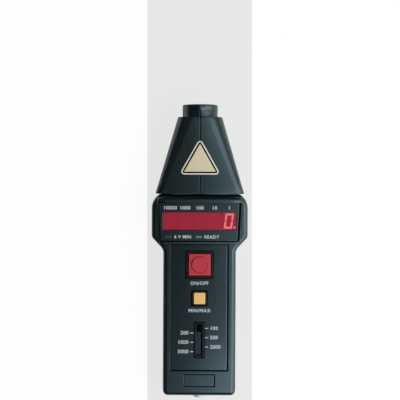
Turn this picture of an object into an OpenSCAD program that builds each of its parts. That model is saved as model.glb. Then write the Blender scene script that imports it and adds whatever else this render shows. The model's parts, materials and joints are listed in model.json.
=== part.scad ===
// Handheld laser tachometer, lying on its back with its face up.
// X runs across the grip, Y from the tail to the nose and Z up out of the face, in millimetres.
// Inside the modules Y is counted from the tail of the case, and placed() centres the whole part.

/* [Case] */
// Width of the grip
grip_w = 62; // [60:0.5:66]
// Width of the display head
head_w = 82; // [80:0.5:88]
// Width of the head where it meets the nose
head_end_w = 69; // [66:0.5:72]
// Length from the tail to the nose joint
case_l = 170.4; // [169:0.2:176]
// Length of the head with its neck
head_l = 47.2; // [45:0.2:50]
// Length of the tapered neck
neck_l = 10.5; // [9:0.5:12]
// Length of the slope beside the nose joint
shoulder_l = 5.7; // [5:0.1:7]
// Depth from the back to the grip's face
case_d = 40; // [39.5:0.1:43]
// Height of the joint between the two shells
joint_z = 20; // [19:0.1:21]
// Thickness of the walls
wall = 2.5; // [2.2:0.1:2.8]
// Lean of the front shell's sides
side_draft = 1.2; // [0.8:0.1:1.4]
// Lean of the rear shell's sides
back_draft = 0.8; // [0.4:0.1:1.2]
// Rounding of the face's edge
edge_r = 3.2; // [2.6:0.1:3.4]
// Rounding of the back's edge
back_r = 3.5; // [2.5:0.1:4]
// Corner radius at the tail
tail_r = 4.7; // [4.6:0.1:6]
// Hollow radius where the grip meets the neck
neck_in_r = 8; // [4:0.5:12]
// Corner radius where the neck meets the head
neck_out_r = 6; // [5:0.5:8]
// Radius of the head's shoulders
shoulder_r = 14; // [10:0.5:15]
// Corner radius beside the nose joint
end_r = 5; // [4.8:0.1:6]
// Height of the lip that locates the shells
lip_h = 1.5; // [1:0.1:2]

/* [Display] */
// Length of the display block
block_l = 42.2; // [41:0.1:44]
// Shoulder beside the display block at its lower end
block_low_side = 6.8; // [6.2:0.1:7.4]
// Shoulder beside the display block under the brow
block_high_side = 4.6; // [4.2:0.1:5]
// Radius of the brow above the display
brow_r = 5; // [4:0.1:5.5]
// Radius of the block's lower edge
block_edge_r = 1; // [0.8:0.1:1.4]
// Height of the block's lower edge above the grip's face
block_rise = 0.15; // [0.1:0.05:0.4]
// Rim below the display recess
display_rim = 0.7; // [0.5:0.1:1]
// Length of the display recess
display_l = 33.5; // [32.5:0.1:33.8]
// Wall beside the display recess at its lower end
display_low_side = 0.6; // [0.5:0.1:1]
// Wall beside the display recess at its upper end
display_high_side = 1.2; // [0.9:0.1:1.5]
// Depth of the display recess
display_depth = 2; // [1.6:0.1:2.2]
// Thickness of the display surround
surround_t = 1; // [0.8:0.1:1.2]
// Surround left beside the red filter
filter_side = 2.4; // [2:0.1:3]
// Height of the red filter
filter_h = 15.2; // [14.5:0.1:16]
// Thickness of the red filter
filter_t = 2.2; // [1.8:0.1:2.6]
// Centre of the filter above the recess's lower end
filter_up = 17.7; // [17:0.1:18]
// Depth of a digit module
digit_t = 7; // [6:0.1:8]
// Centre of the lamps above the recess's lower end
lamp_up = 4.3; // [3.5:0.1:5]
// Width of a lamp
lamp_w = 4.7; // [4:0.1:5.2]
// Height of a lamp
lamp_h = 2; // [1.6:0.1:2.4]
// Distance from the filter's left end to the low-battery lamp
low_lamp_in = 5.4; // [4:0.1:8]
// Place of the target lamp across the display
target_lamp_x = -0.5; // [-4:0.1:4]

/* [Panel] */
// Width of the control panel recess
panel_w = 49; // [48:0.1:50]
// Distance from the tail to the control panel recess
panel_y = 21; // [20.5:0.1:21.6]
// Depth of the control panel recess
panel_depth = 1.8; // [1.6:0.1:2]
// Thickness of the control panel
panel_t = 0.8; // [0.6:0.1:1]
// Width of the tail plate recess
badge_w = 26.6; // [20:0.1:30]
// Length of the tail plate recess
badge_l = 10.6; // [9:0.1:12]
// Distance from the tail to the tail plate recess
badge_y = 7.8; // [7:0.1:8.5]
// Depth of the tail plate recess
badge_depth = 0.6; // [0.4:0.1:0.8]
// Rise of the bezels above the control panel
bezel_rise = 0.5; // [0.3:0.1:0.8]

/* [Buttons] */
// Place of the measuring button, as a share of the panel's length
measure_ratio = 0.838; // [0.8:0.002:0.86]
// Side of the measuring button
measure_w = 18.9; // [18:0.1:19.6]
// Outer side of the measuring button's bezel
measure_bezel_w = 23.7; // [23.4:0.1:25]
// Height of the measuring button above its bezel
measure_rise = 1.7; // [1.4:0.1:2.4]
// Travel of the measuring button
measure_travel = 2.2; // [1.5:0.1:2.4]
// Diameter of the disc on the measuring button
disc_d = 14.8; // [12:0.1:15.6]
// Height of the disc on the measuring button
disc_h = 0.5; // [0.3:0.1:0.8]
// Place of the recall button, as a share of the panel's length
recall_ratio = 0.573; // [0.55:0.001:0.6]
// Width of the recall button
recall_w = 9.6; // [9:0.1:10]
// Length of the recall button
recall_l = 10; // [9.4:0.1:10.2]
// Outer width of the recall button's bezel
recall_bezel_w = 13.8; // [13.6:0.1:15]
// Outer length of the recall button's bezel
recall_bezel_l = 13; // [12.9:0.1:14]
// Height of the recall button above its bezel
recall_rise = 1.2; // [1.1:0.1:2]
// Travel of the recall button
recall_travel = 1; // [0.6:0.1:1.2]
// Gap between a button and its bezel
button_gap = 0.5; // [0.4:0.05:0.6]

/* [Selector] */
// Place of the selector's middle, as a share of the panel's length
selector_ratio = 0.245; // [0.24:0.0002:0.26]
// Width of the selector's bezel
selector_bezel_w = 9.1; // [8.6:0.1:10]
// Wall of the selector's bezel round its slot
selector_bezel_wall = 1.85; // [1.5:0.05:2]
// Length of the selector knob
knob_l = 6; // [5.5:0.1:7]
// Distance between two selector positions
detent_step = 3.95; // [3.6:0.05:4.2]
// Number of selector positions
detent_count = 6; // [4:1:6]

/* [Nose] */
// Length of the nose cone
cone_l = 65; // [60:0.5:70]
// Width of the cone at its base
cone_base_w = 75; // [72:0.5:77]
// Depth of the cone at its base
cone_base_d = 40.4; // [39.5:0.1:41]
// Corner radius of the cone at its base
cone_base_r = 6; // [5:0.1:8]
// Width and depth of the cone at its nose end
cone_end_w = 37.8; // [36:0.1:40]
// Corner radius of the cone at its nose end
cone_end_r = 13; // [11:0.1:15]
// Height of the cone's axis above the back
nose_z = 20.7; // [20.6:0.1:21.2]
// Gap between the case and the cone
nose_gap = 0.4; // [0.3:0.1:0.8]
// Width of the seam between the cone's halves
seam_w = 1; // [0.6:0.1:1.2]
// Depth of the seam between the cone's halves
seam_depth = 1; // [0.6:0.1:1.2]
// Radius of the collar
collar_r = 15; // [14.6:0.1:16]
// Length of the split collar
collar_l = 5.3; // [4.5:0.1:7]
// Length of the window ring
ring_l = 5.4; // [5:0.1:7]
// Radius of the window
window_r = 11; // [10.5:0.1:11.4]
// Radius of the laser barrel
laser_r = 6.5; // [5:0.1:7]
// Radius of the laser's snout
snout_r = 3; // [2.5:0.1:4]

/* [Power] */
// Diameter of a battery
cell_d = 14.5; // [14:0.1:14.5]
// Length of a battery
cell_l = 50.5; // [49:0.1:50.5]
// Thickness of the battery cover
cover_t = 2; // [1.6:0.1:2.2]
// Height of the battery cover above the rest plane
cover_rise = 0.3; // [0.2:0.1:0.5]
// Radius of the jack's bore
jack_bore_r = 1.8; // [1.3:0.05:2.2]
// Radius of the jack's threaded sleeve
jack_sleeve_r = 3; // [2.8:0.1:3.4]
// Radius of the jack's nut
jack_nut_r = 4.8; // [4.2:0.1:5.5]
// Height of the jack's axis above the back
jack_z = 27; // [26.5:0.1:28]
// Reach of the jack's sleeve past the tail
jack_out = 1.9; // [1.6:0.1:3]

/* [Mounting] */
// Radius of the tripod bush's thread bore
tripod_r = 2.55; // [2.4:0.05:3]
// Outer radius of the tripod bush
bush_r = 5; // [4.4:0.1:6]
// Length of the tripod bush
bush_l = 9; // [7:0.1:10]
// Distance from the nose joint to the tripod bush
bush_back = 22.4; // [18:0.2:30]
// Radius of a case screw's shank
screw_r = 1.4; // [1.2:0.1:1.6]
// Radius of a case screw's head
screw_head_r = 2.7; // [2.4:0.1:2.8]

/* [Boards] */
// Thickness of the circuit boards
board_t = 1.6; // [1.2:0.1:1.8]
// Height of the header between the boards
header_h = 3.4; // [3:0.1:3.8]
// Width of the main board
board_w = 48; // [46:0.5:50]
// Distance from the tail to the main board
board_y = 20; // [18.5:0.5:21]

/* [Hidden] */
$fn = 48;

// How far a cut runs past the face that it opens
over = 1;
// Clearance round a piece that drops into a recess
fit = 0.2;
// Clearance round a piece that moves
play = 0.3;
// Thickness left under the panel and display recesses
floor_t = 2;
// Points round each rounded corner of the plan, and round each edge
corner_steps = 6;
edge_steps = 5;
// Smallest radius that an offset corner keeps
least_r = 0.2;
// Half a turn, in degrees
half_turn = 180;

// Heights of the panel's stack
floor_z = case_d - panel_depth;
panel_z = floor_z + panel_t;
bezel_z = panel_z + bezel_rise;
ceiling_z = floor_z - floor_t;

// Stations along the case, and the widths of the display
neck_y = case_l - head_l;
block_y = case_l - block_l;
bush_y = case_l - bush_back;
panel_l = block_y - panel_y;
measure_y = panel_y + measure_ratio * panel_l;
recall_y = panel_y + recall_ratio * panel_l;
selector_y = panel_y + selector_ratio * panel_l;
block_low_w = head_w - 2 * block_low_side;
block_high_w = head_w - 2 * block_high_side;
display_low_w = block_low_w - 2 * display_low_side;
display_high_w = block_high_w - 2 * display_high_side;
filter_w = display_low_w - 2 * filter_side;
low_lamp_x = low_lamp_in - filter_w / 2;

// Stations along the nose
nose_y = case_l + nose_gap;
collar_y = nose_y + cone_l;
ring_y = collar_y + collar_l;
nose_end = ring_y + ring_l;
tail_y = -(nose_end - jack_out) / 2;

// Display face: it leans back against two round edges, and its frame starts at the recess's lower end
block_low_y = block_y + block_edge_r;
block_high_y = case_l - side_draft - brow_r;
block_z = case_d + block_rise - block_edge_r;
tilt = asin((brow_r - block_edge_r) / (block_high_y - block_low_y));
display_y = block_low_y - block_edge_r * sin(tilt) + display_rim * cos(tilt);
display_z = block_z + block_edge_r * cos(tilt) + display_rim * sin(tilt);
surround_z = surround_t - display_depth;
digit_pitch = filter_w / 5;
digit_z = surround_z - filter_t - play;
display_board_z = digit_z - digit_t;
display_board_l = 26.5;
display_board_up = 1.5;
display_post_r = 1.6;
display_post_at = [for (side = [-1, 1]) [side * (digit_pitch * 2.5 - 3), filter_up - filter_h / 2 - 2.4]];

// Battery tub, cover and boards, from the back upwards
cover_z = cover_rise + cover_t;
cell_gap = 0.4;
cell_z = cover_z + cell_gap + cell_d / 2;
tub_w = 2 * cell_d + 3 * cell_gap;
tub_y = 6;
tub_wall = 1.6;
contact_t = 0.4;
spring_l = 4.6;
tub_l = 2 * cell_l + spring_l + 2 * contact_t + 0.4;
tub_roof = cell_z + cell_d / 2 + cell_gap;
tub_top = tub_roof + tub_wall;
cover_w = tub_w + 4.8;
tongue_w = 1.2;
tongue_t = 1.1;
rail_wall = 1.6;
rail_w = cover_w + 2 * tongue_w + 2 * rail_wall;
cover_l = tub_y + tub_l + 2;
nub_r = 2.75;
nub_h = 1.4;
contact_spring_r = 4;
contact_wire_r = 0.4;

// Main board: the header stands on it and meets the display board, which leans over its end
header_w = 30;
header_l = 2.5;
header_in = 0.5;
board_reach = 6;
board_end = display_y + board_reach;
board_z = display_z + (board_reach - header_in - header_l) * tan(tilt) - (board_t - display_board_z) / cos(tilt)
    - header_h;

// Buttons: the flange of a cap rests under its bezel, and clears the switch when it is pressed
cap_wall = 1;
flange_t = 0.9;
flange_w = 1.1;
sleeve_wall = 0.6;
skirt_z = ceiling_z - play - flange_t;
switch_top = skirt_z - measure_travel - play;
plunger_r = 1.6;
plunger_depth = 1.5;
socket_r = plunger_r + 0.8;
socket_z = bezel_z - 2;
wire_r = 0.35;
measure_roof = 2;
measure_lean = 0.6;
measure_switch_w = 15;
measure_spring_r = 4.2;
measure_open_w = measure_w + 2 * button_gap;
measure_sleeve_w = measure_open_w + 2 * sleeve_wall;
recall_roof = 1.6;
recall_lean = 0.3;
recall_switch_w = 12;
recall_spring_r = socket_r + wire_r + 0.15;
recall_open_w = recall_w + 2 * button_gap;
recall_open_l = recall_l + 2 * button_gap;
recall_sleeve_w = recall_open_w + 2 * sleeve_wall;
recall_sleeve_l = recall_open_l + 2 * sleeve_wall;

// Selector: the knob's stem runs in a slot of the recess floor and in the switch
selector_travel = detent_step * (detent_count - 1);
slot_l = selector_travel + knob_l + 1;
slot_w = selector_bezel_w - 2 * selector_bezel_wall;
knob_w = slot_w - 2 * play;
knob_y = selector_y + selector_travel / 2;
stem_w = 1.8;
stem_l = 3;
stem_depth = 2.5;
selector_switch_top = ceiling_z - 2;
selector_bezel_l = slot_l + 2 * selector_bezel_wall;

// Screws, each with its boss
tail_screw_in = 4;
tail_screw_y = 12;
head_screw_in = 1.5;
head_screw_back = 8;
case_screw_at = [
    for (side = [-1, 1]) [side * (grip_w / 2 - wall - tail_screw_in), tail_screw_y],
    for (side = [-1, 1]) [side * (head_end_w / 2 - head_screw_in), case_l - head_screw_back]
];
boss_r = 3.3;
rear_boss_r = 4;
screw_seat_z = 10;
screw_head_t = 2.2;
screw_reach = 9;
board_screw_at = [for (y = [board_y + 6, neck_y + 0.8]) for (side = [-1, 1]) [side * (board_w / 2 - 3.5), y]];
post_r = 2.4;
board_screw_r = 0.95;
board_screw_head_r = 1.9;
board_screw_head_t = 1.6;
board_screw_reach = 4.5;

// Neck that ties the nose to the case
neck_w = 46;
neck_d = 24;
neck_wall = 2;
neck_r = 4;
flange_neck_t = 2;
flange_neck_w = 2.8;
end_wall = wall + side_draft;
flange_y = case_l - end_wall - fit - flange_neck_t;
sensor_y = nose_y + wall + fit;
saddle_t = 3;
saddle_d = 8;
barrel_l = 34;
saddle_in = 8;
saddle_at = [cone_l - barrel_l + saddle_in, cone_l - saddle_in];
sensor_w = 52;
sensor_d = 26;
rib_w = 12;
rib_reach = 4.5;
lens_seat = 1.2;
lens_t = 2.2;
lens_r = window_r + 1;
spigot_r = window_r + 2.2;
spigot_l = lens_seat + lens_t + fit;

// Flat seat for the jack's nut, just below the leaning tail wall
jack_seat = side_draft * (jack_z + jack_nut_r - joint_z) / (case_d - edge_r - joint_z) + 0.05;

slate = [0.16, 0.19, 0.20];
ink = [0.07, 0.08, 0.08];
red = [0.75, 0.16, 0.22];
amber = [0.92, 0.76, 0.42];
ruby = [0.62, 0.10, 0.18];
glass = [0.75, 0.82, 0.86];
green = [0.10, 0.32, 0.18];
steel = [0.70, 0.71, 0.73];
brass = [0.76, 0.62, 0.30];

// Puts the tail-based model into the part's own frame
module placed() translate([0, tail_y, 0]) children();

// Puts a shape drawn on the display's face, with Y up the display and Z out of it
module on_display() translate([0, display_y, display_z]) rotate([tilt, 0, 0]) children();

// Turns a shape built along Z so that it runs along Y from the given station
module along_y(y, z) translate([0, y, z]) rotate([-90, 0, 0]) children();

// Flat rectangle with round corners, centred
module sheet(w, l, r) offset(r, $fn = 24) square([w - 2 * r, l - 2 * r], center = true);

// Plate with round corners, centred on X and Y and standing on Z = 0
module plate(w, l, h, r) linear_extrude(h) sheet(w, l, r);

// Case plan: the right-hand corners from the tail to the nose joint, with their radii, then their mirror
right_side = [
    [grip_w / 2, 0],
    [grip_w / 2, neck_y],
    [head_w / 2, neck_y + neck_l],
    [head_w / 2, case_l - shoulder_l],
    [head_end_w / 2, case_l]
];
right_radii = [tail_r, neck_in_r, neck_out_r, shoulder_r, end_r];
side_count = len(right_side);
plan = concat(right_side, [for (i = [side_count - 1 : -1 : 0]) [-right_side[i].x, right_side[i].y]]);
plan_radii = concat(right_radii, [for (i = [side_count - 1 : -1 : 0]) right_radii[i]]);

function unit(v) = v / norm(v);
function before(list, i) = list[(i + len(list) - 1) % len(list)];
function after(list, i) = list[(i + 1) % len(list)];

// Inward normal of the side from a to b of an outline that runs anticlockwise
function inward(a, b) = unit([a.y - b.y, b.x - a.x]);

// Corner b moved inwards by d from both of its sides
function moved(a, b, c, d) =
    let (n = inward(a, b), m = inward(b, c))
    b + (n + m) * d / (1 + n * m);

// Arc that rounds the corner b between a and c
function rounding(a, b, c, r) =
    let (
        u = unit(a - b),
        v = unit(c - b),
        half = acos(u * v) / 2,
        reach = min(r / tan(half), 0.8 * min(norm(a - b), norm(c - b))),
        fit_r = reach * tan(half),
        centre = b + unit(u + v) * fit_r / sin(half),
        from = b + u * reach - centre,
        to = b + v * reach - centre,
        start = atan2(from.y, from.x),
        turn = (atan2(to.y, to.x) - start + 3 * half_turn) % (2 * half_turn) - half_turn
    )
    [for (i = [0 : corner_steps])
        let (angle = start + turn * i / corner_steps)
        centre + fit_r * [cos(angle), sin(angle)]];

// 1 at a corner that points outwards, -1 at a hollow one
function corner_sign(i) =
    sign(cross(plan[i] - before(plan, i), after(plan, i) - plan[i]));

// Case outline moved inwards by d
function outline(d) =
    let (p = [for (i = [0 : len(plan) - 1]) moved(before(plan, i), plan[i], after(plan, i), d)])
    [for (i = [0 : len(p) - 1])
        each rounding(before(p, i), p[i], after(p, i), max(plan_radii[i] - d * corner_sign(i), least_r))];

// Ring of the case outline, inset by d, at height z
function ring(d, z) = [for (p = outline(d)) [p.x, p.y, z]];

// Solid through rings that are symmetric about X = 0, closed by strips across each end
module loft(rings) {
    n = len(rings[0]);
    top = (len(rings) - 1) * n;
    sides = [for (k = [0 : len(rings) - 2]) for (i = [0 : n - 1])
        [k * n + i, (k + 1) * n + i, (k + 1) * n + (i + 1) % n, k * n + (i + 1) % n]];
    low = [for (i = [0 : n / 2 - 2]) [i, i + 1, n - 2 - i, n - 1 - i]];
    high = [for (f = low) [top + f[3], top + f[2], top + f[1], top + f[0]]];
    polyhedron([for (r = rings) each r], concat(sides, low, high));
}

// Front shell's outside: leaning sides and a rounded edge up to the face
module front_form() loft(concat(
    [ring(0, joint_z)],
    [for (i = [0 : edge_steps])
        let (a = 90 * i / edge_steps)
        ring(side_draft + edge_r * (1 - cos(a)), case_d - edge_r * (1 - sin(a)))]));

// Rear shell's outside, from the back up to the joint
module rear_form() loft(concat(
    [for (i = [0 : edge_steps])
        let (a = 90 - 90 * i / edge_steps)
        ring(back_draft + back_r * (1 - cos(a)), back_r * (1 - sin(a)))],
    [ring(0, joint_z)]));

module front_hollow() loft([
    ring(wall, joint_z - over),
    ring(wall + side_draft, ceiling_z - edge_r),
    ring(wall + side_draft + edge_r / 2, ceiling_z)
]);

module rear_hollow() loft([
    ring(wall + back_draft + back_r / 2, wall),
    ring(wall + back_draft, wall + back_r),
    ring(wall, joint_z + over)
]);

// Wedge that carries the display, with its rounded brow
module display_block() hull() {
    for (side = [-1, 1]) {
        translate([side * (block_low_w / 2 - block_edge_r), block_low_y, block_z])
            sphere(block_edge_r, $fn = 32);
        translate([side * (block_high_w / 2 - brow_r), block_high_y, block_z])
            sphere(brow_r, $fn = 32);
    }
}

// Outline of the display recess, drawn in by d
module display_sheet(d) polygon([
    [-display_low_w / 2 + d, d],
    [display_low_w / 2 - d, d],
    [display_high_w / 2 - d, display_l - d],
    [-display_high_w / 2 + d, display_l - d]
]);

// Filter-shaped prism in the display's frame, grown by gap
module filter_prism(gap, z, h)
    translate([0, filter_up, z])
        plate(filter_w + 2 * gap, filter_h + 2 * gap, h, 0.3);

module lamp_prism(x, gap, z, h)
    translate([x, lamp_up, z])
        plate(lamp_w + 2 * gap, lamp_h + 2 * gap, h, 0.2);

// Opening in the end of the case for the nose's neck, with a seat for the flange behind it
module neck_opening() {
    along_y(case_l - end_wall - over, nose_z)
        plate(neck_w + 2 * fit, neck_d + 2 * fit, end_wall + 2 * over, neck_r);
    seat_w = 2 * (flange_neck_w + fit);
    along_y(flange_y - over, nose_z)
        plate(neck_w + seat_w, neck_d + seat_w, over + flange_neck_t + fit, neck_r + seat_w / 2);
}

module front_shell() color(slate) placed() difference() {
    union() {
        difference() {
            union() {
                front_form();
                display_block();
            }
            front_hollow();
            translate([0, 0, joint_z - over])
                linear_extrude(lip_h + fit + over)
                    polygon(outline(wall / 2));
        }
        for (p = case_screw_at)
            translate([p.x, p.y, joint_z])
                cylinder(r = boss_r, h = ceiling_z - joint_z + over);
        for (p = board_screw_at)
            translate([p.x, p.y, board_z])
                cylinder(r = post_r, h = ceiling_z - board_z + over);
        on_display()
            for (p = display_post_at)
                translate([p.x, p.y, display_board_z])
                    cylinder(r = display_post_r, h = digit_t);
    }
    translate([0, panel_y + panel_l / 2, floor_z])
        plate(panel_w, panel_l, panel_depth + 4 * over, 0.6);
    translate([0, badge_y + badge_l / 2, case_d - badge_depth])
        plate(badge_w, badge_l, badge_depth + over, 0.6);
    on_display() {
        translate([0, 0, -display_depth])
            linear_extrude(display_depth + over)
                display_sheet(0);
        filter_prism(fit, display_board_z - over, -display_board_z);
        for (x = [low_lamp_x, target_lamp_x])
            lamp_prism(x, fit, display_board_z - over, -display_board_z);
        for (p = display_post_at)
            translate([p.x, p.y, display_board_z - over])
                cylinder(r = board_screw_r + 0.05, h = board_screw_reach + over);
    }
    translate([0, measure_y, ceiling_z - over])
        plate(measure_sleeve_w + 2 * fit, measure_sleeve_w + 2 * fit, floor_t + 2 * over, 1);
    translate([0, recall_y, ceiling_z - over])
        plate(recall_sleeve_w + 2 * fit, recall_sleeve_l + 2 * fit, floor_t + 2 * over, 1);
    translate([0, selector_y, ceiling_z - over])
        plate(stem_w + 2 * play, selector_travel + stem_l + 2 * play, floor_t + 2 * over, 0.5);
    for (p = case_screw_at)
        translate([p.x, p.y, joint_z - over])
            cylinder(r = screw_r + 0.05, h = screw_reach + play + over);
    for (p = board_screw_at)
        translate([p.x, p.y, board_z - over])
            cylinder(r = board_screw_r + 0.05, h = board_screw_reach + over);
    along_y(-over, jack_z) {
        cylinder(r = jack_sleeve_r + 0.1, h = end_wall + 4 * over);
        cylinder(r = jack_nut_r + fit, h = jack_seat + over);
    }
    neck_opening();
}

// Cross-section of the cover and its track, grown by gap
module cover_section(gap) {
    translate([-cover_w / 2 - gap, cover_rise - gap])
        square([cover_w + 2 * gap, cover_t + 2 * gap]);
    translate([-cover_w / 2 - tongue_w - gap, cover_z - tongue_t - gap])
        square([cover_w + 2 * tongue_w + 2 * gap, tongue_t + 2 * gap]);
}

// Straight length of that section along Y
module cover_bar(gap, from, to)
    translate([0, to, 0]) rotate([90, 0, 0]) linear_extrude(to - from) cover_section(gap);

module rear_shell() color(slate) placed() difference() {
    union() {
        difference() {
            rear_form();
            rear_hollow();
        }
        translate([0, 0, joint_z - over])
            linear_extrude(lip_h + over)
                difference() {
                    polygon(outline(wall / 2 + fit));
                    polygon(outline(wall));
                }
        translate([0, tub_y - tub_wall, over]) {
            translate([-tub_w / 2 - tub_wall, 0, 0])
                cube([tub_w + 2 * tub_wall, tub_l + 2 * tub_wall, tub_top - over]);
            translate([-rail_w / 2, 0, 0])
                cube([rail_w, cover_l - tub_y + tub_wall + rail_wall, cover_z + play + rail_wall - over]);
        }
        for (p = case_screw_at)
            translate([p.x, p.y, over])
                cylinder(r = rear_boss_r, h = joint_z - over);
        translate([0, bush_y, over])
            cylinder(r = bush_r + wall, h = bush_l + wall - over);
    }
    translate([-tub_w / 2, tub_y, cover_rise])
        cube([tub_w, tub_l, tub_roof - cover_rise]);
    cover_bar(fit, -over, cover_l + fit);
    translate([-cover_w / 2 - fit, -over, -over])
        cube([cover_w + 2 * fit, cover_l + fit + over, cover_z]);
    for (p = case_screw_at)
        translate([p.x, p.y, -over]) {
            cylinder(r = screw_head_r + fit, h = screw_seat_z + over);
            cylinder(r = screw_r + fit, h = joint_z + 2 * over);
        }
    translate([0, bush_y, -over])
        cylinder(r = bush_r + 0.05, h = bush_l + fit + over);
    neck_opening();
}

// The cover ends flush with the tail's rounding, and has ridges for the thumb
ridge_count = 6;
ridge_start = 10;
ridge_step = 3;
ridge_depth = 0.5;
module battery_cover() color(slate) placed() difference() {
    intersection() {
        cover_bar(0, 0, cover_l);
        rear_form();
    }
    for (i = [0 : ridge_count - 1])
        translate([-cover_w / 3, ridge_start + ridge_step * i, -over])
            cube([cover_w * 2 / 3, ridge_step / 2, cover_rise + ridge_depth + over]);
}

// Cone between two rounded rectangles, drawn in by d all round and by end at each end
module cone_form(d, end) hull() {
    along_y(nose_y + end, nose_z)
        plate(cone_base_w - 2 * d, cone_base_d - 2 * d, 0.2, max(cone_base_r - d, 1));
    along_y(collar_y - end - 0.2, nose_z)
        plate(cone_end_w - 2 * d, cone_end_w - 2 * d, 0.2, cone_end_r - d);
}

// Both halves of the nose as one shell, with its outside drawn in by d
module nose_form(d) difference() {
    union() {
        difference() {
            cone_form(d, 0);
            cone_form(wall, wall);
        }
        along_y(collar_y - over, nose_z) {
            cylinder(r = collar_r - d, h = collar_l + over);
            cylinder(r = spigot_r, h = collar_l + spigot_l + over);
        }
        along_y(flange_y, nose_z)
            plate(neck_w, neck_d, nose_y - flange_y + over, neck_r - fit);
        along_y(flange_y, nose_z)
            plate(neck_w + 2 * flange_neck_w, neck_d + 2 * flange_neck_w, flange_neck_t, neck_r + flange_neck_w);
        intersection() {
            cone_form(wall / 2, wall / 2);
            union() {
                for (y = saddle_at)
                    along_y(nose_y + y, nose_z)
                        translate([-cone_base_w / 2, -saddle_d / 2, 0])
                            cube([cone_base_w, saddle_d, saddle_t]);
                for (side = [-1, 1])
                    along_y(sensor_y + board_t + fit, nose_z)
                        translate([side * (sensor_w / 2 + rib_reach), 0, saddle_t / 2])
                            cube([rib_w, saddle_d, saddle_t], center = true);
            }
        }
    }
    along_y(flange_y - over, nose_z)
        plate(neck_w - 2 * neck_wall, neck_d - 2 * neck_wall, nose_y + wall - flange_y + 2 * over, neck_r - neck_wall);
    along_y(collar_y - wall - over, nose_z)
        cylinder(r = window_r, h = wall + collar_l + lens_seat + over + 0.01);
    along_y(ring_y + lens_seat, nose_z)
        cylinder(r = lens_r + 0.1, h = spigot_l);
    along_y(nose_y + saddle_at[0] - over, nose_z)
        cylinder(r = laser_r + 0.1, h = saddle_at[1] - saddle_at[0] + saddle_t + 2 * over);
}

// Slab that keeps what lies between two values of X
module between(low, high)
    translate([low, flange_y - over, -over])
        cube([high - low, nose_end - flange_y + 2 * over, cone_base_d + nose_z]);

module nose_left() color(slate) placed() intersection() {
    nose_form(0);
    between(-cone_base_w, -seam_w / 2);
}

// The right half carries the tongue that fills the bottom of the seam
module nose_right() color(slate) placed() union() {
    intersection() {
        nose_form(0);
        between(seam_w / 2, cone_base_w);
    }
    intersection() {
        nose_form(seam_depth);
        between(-seam_w / 2, seam_w / 2 + 0.2);
    }
}

// Ring that screws over the split collar and keeps the window in
ring_round = 1.2;
ring_lip_y = spigot_l + fit;
module window_ring() color(ink) placed() along_y(ring_y, nose_z) rotate_extrude() polygon(concat(
    [[spigot_r + 0.1, 0], [collar_r, 0]],
    [for (i = [0 : corner_steps])
        let (a = 90 * i / corner_steps)
        [collar_r - ring_round * (1 - cos(a)), ring_l - ring_round * (1 - sin(a))]],
    [[window_r + 0.6, ring_l], [window_r, ring_l - 0.6], [window_r, ring_lip_y], [spigot_r + 0.1, ring_lip_y]]));

// Plano-convex lens with a hole for the laser's snout
lens_dome_h = 1.6;
lens_dome_r = window_r - 0.6;
lens_sphere_r = (lens_dome_r * lens_dome_r + lens_dome_h * lens_dome_h) / (2 * lens_dome_h);
module nose_lens() color(glass) placed() along_y(ring_y + lens_seat, nose_z) difference() {
    union() {
        cylinder(r = lens_r, h = lens_t);
        intersection() {
            translate([0, 0, lens_sphere_r - lens_dome_h])
                sphere(lens_sphere_r);
            translate([0, 0, -lens_dome_h])
                cylinder(r = lens_dome_r, h = lens_dome_h + lens_t / 2);
        }
    }
    translate([0, 0, -lens_dome_h - over])
        cylinder(r = snout_r + 0.1, h = lens_dome_h + lens_t + 2 * over);
}

module laser_module() color(brass) placed() difference() {
    union() {
        along_y(collar_y - barrel_l, nose_z)
            cylinder(r = laser_r, h = barrel_l);
        along_y(collar_y, nose_z)
            cylinder(r = snout_r, h = collar_l + lens_seat + lens_t);
    }
    along_y(collar_y + collar_l, nose_z)
        cylinder(r = snout_r / 2, h = lens_seat + lens_t + over);
}

module sensor_board() color(green) placed() along_y(sensor_y, nose_z)
    plate(sensor_w, sensor_d, board_t, 1);

diode_r = 4.6;
diode_h = 5;
module photodiode() color(steel) placed() along_y(sensor_y + board_t, nose_z) {
    cylinder(r = diode_r, h = 1);
    cylinder(r = diode_r - 0.6, h = diode_h);
}

// Flat lead from the back of the sensor board, through the neck, to the underside of the main board
lead_w = 12;
lead_t = 0.8;
lead_gap = 0.1;
lead_rise = 3;
lead_bend = 4;
lead_in = 1;
lead_lap = 8;
lead_low = nose_z - neck_d / 2 + neck_wall + lead_rise;
lead_high = board_z - board_t - lead_t - lead_gap;
module sensor_lead() color(steel) placed()
    translate([lead_w / 2, 0, 0]) rotate([0, -90, 0]) linear_extrude(lead_w) polygon([
        [lead_low, sensor_y - lead_gap],
        [lead_low, bush_y - lead_bend],
        [lead_high, board_end - lead_in],
        [lead_high, board_end - lead_lap],
        [lead_high + lead_t, board_end - lead_lap],
        [lead_high + lead_t, board_end - lead_in + lead_t / 2],
        [lead_low + lead_t, bush_y - lead_bend + lead_t / 2],
        [lead_low + lead_t, sensor_y - lead_gap]
    ]);

module display_surround() color(ink) placed() on_display() difference() {
    translate([0, 0, -display_depth])
        linear_extrude(surround_t)
            display_sheet(fit);
    filter_prism(fit, -display_depth - over, display_depth + 2 * over);
    for (x = [low_lamp_x, target_lamp_x])
        lamp_prism(x, fit, -display_depth - over, display_depth + 2 * over);
}

module display_filter() color(ruby) placed() on_display()
    filter_prism(0, surround_z - filter_t, filter_t);

// One seven-segment module, with its rounded back corners
module digit(place) color(ruby) placed() on_display()
    translate([digit_pitch * (place - 3), filter_up, display_board_z])
        plate(digit_pitch - 0.1, filter_h, digit_t, 0.3);

module lamp(x) color(ruby) placed() on_display()
    lamp_prism(x, 0, display_board_z, surround_z + 0.1 - display_board_z);

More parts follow.
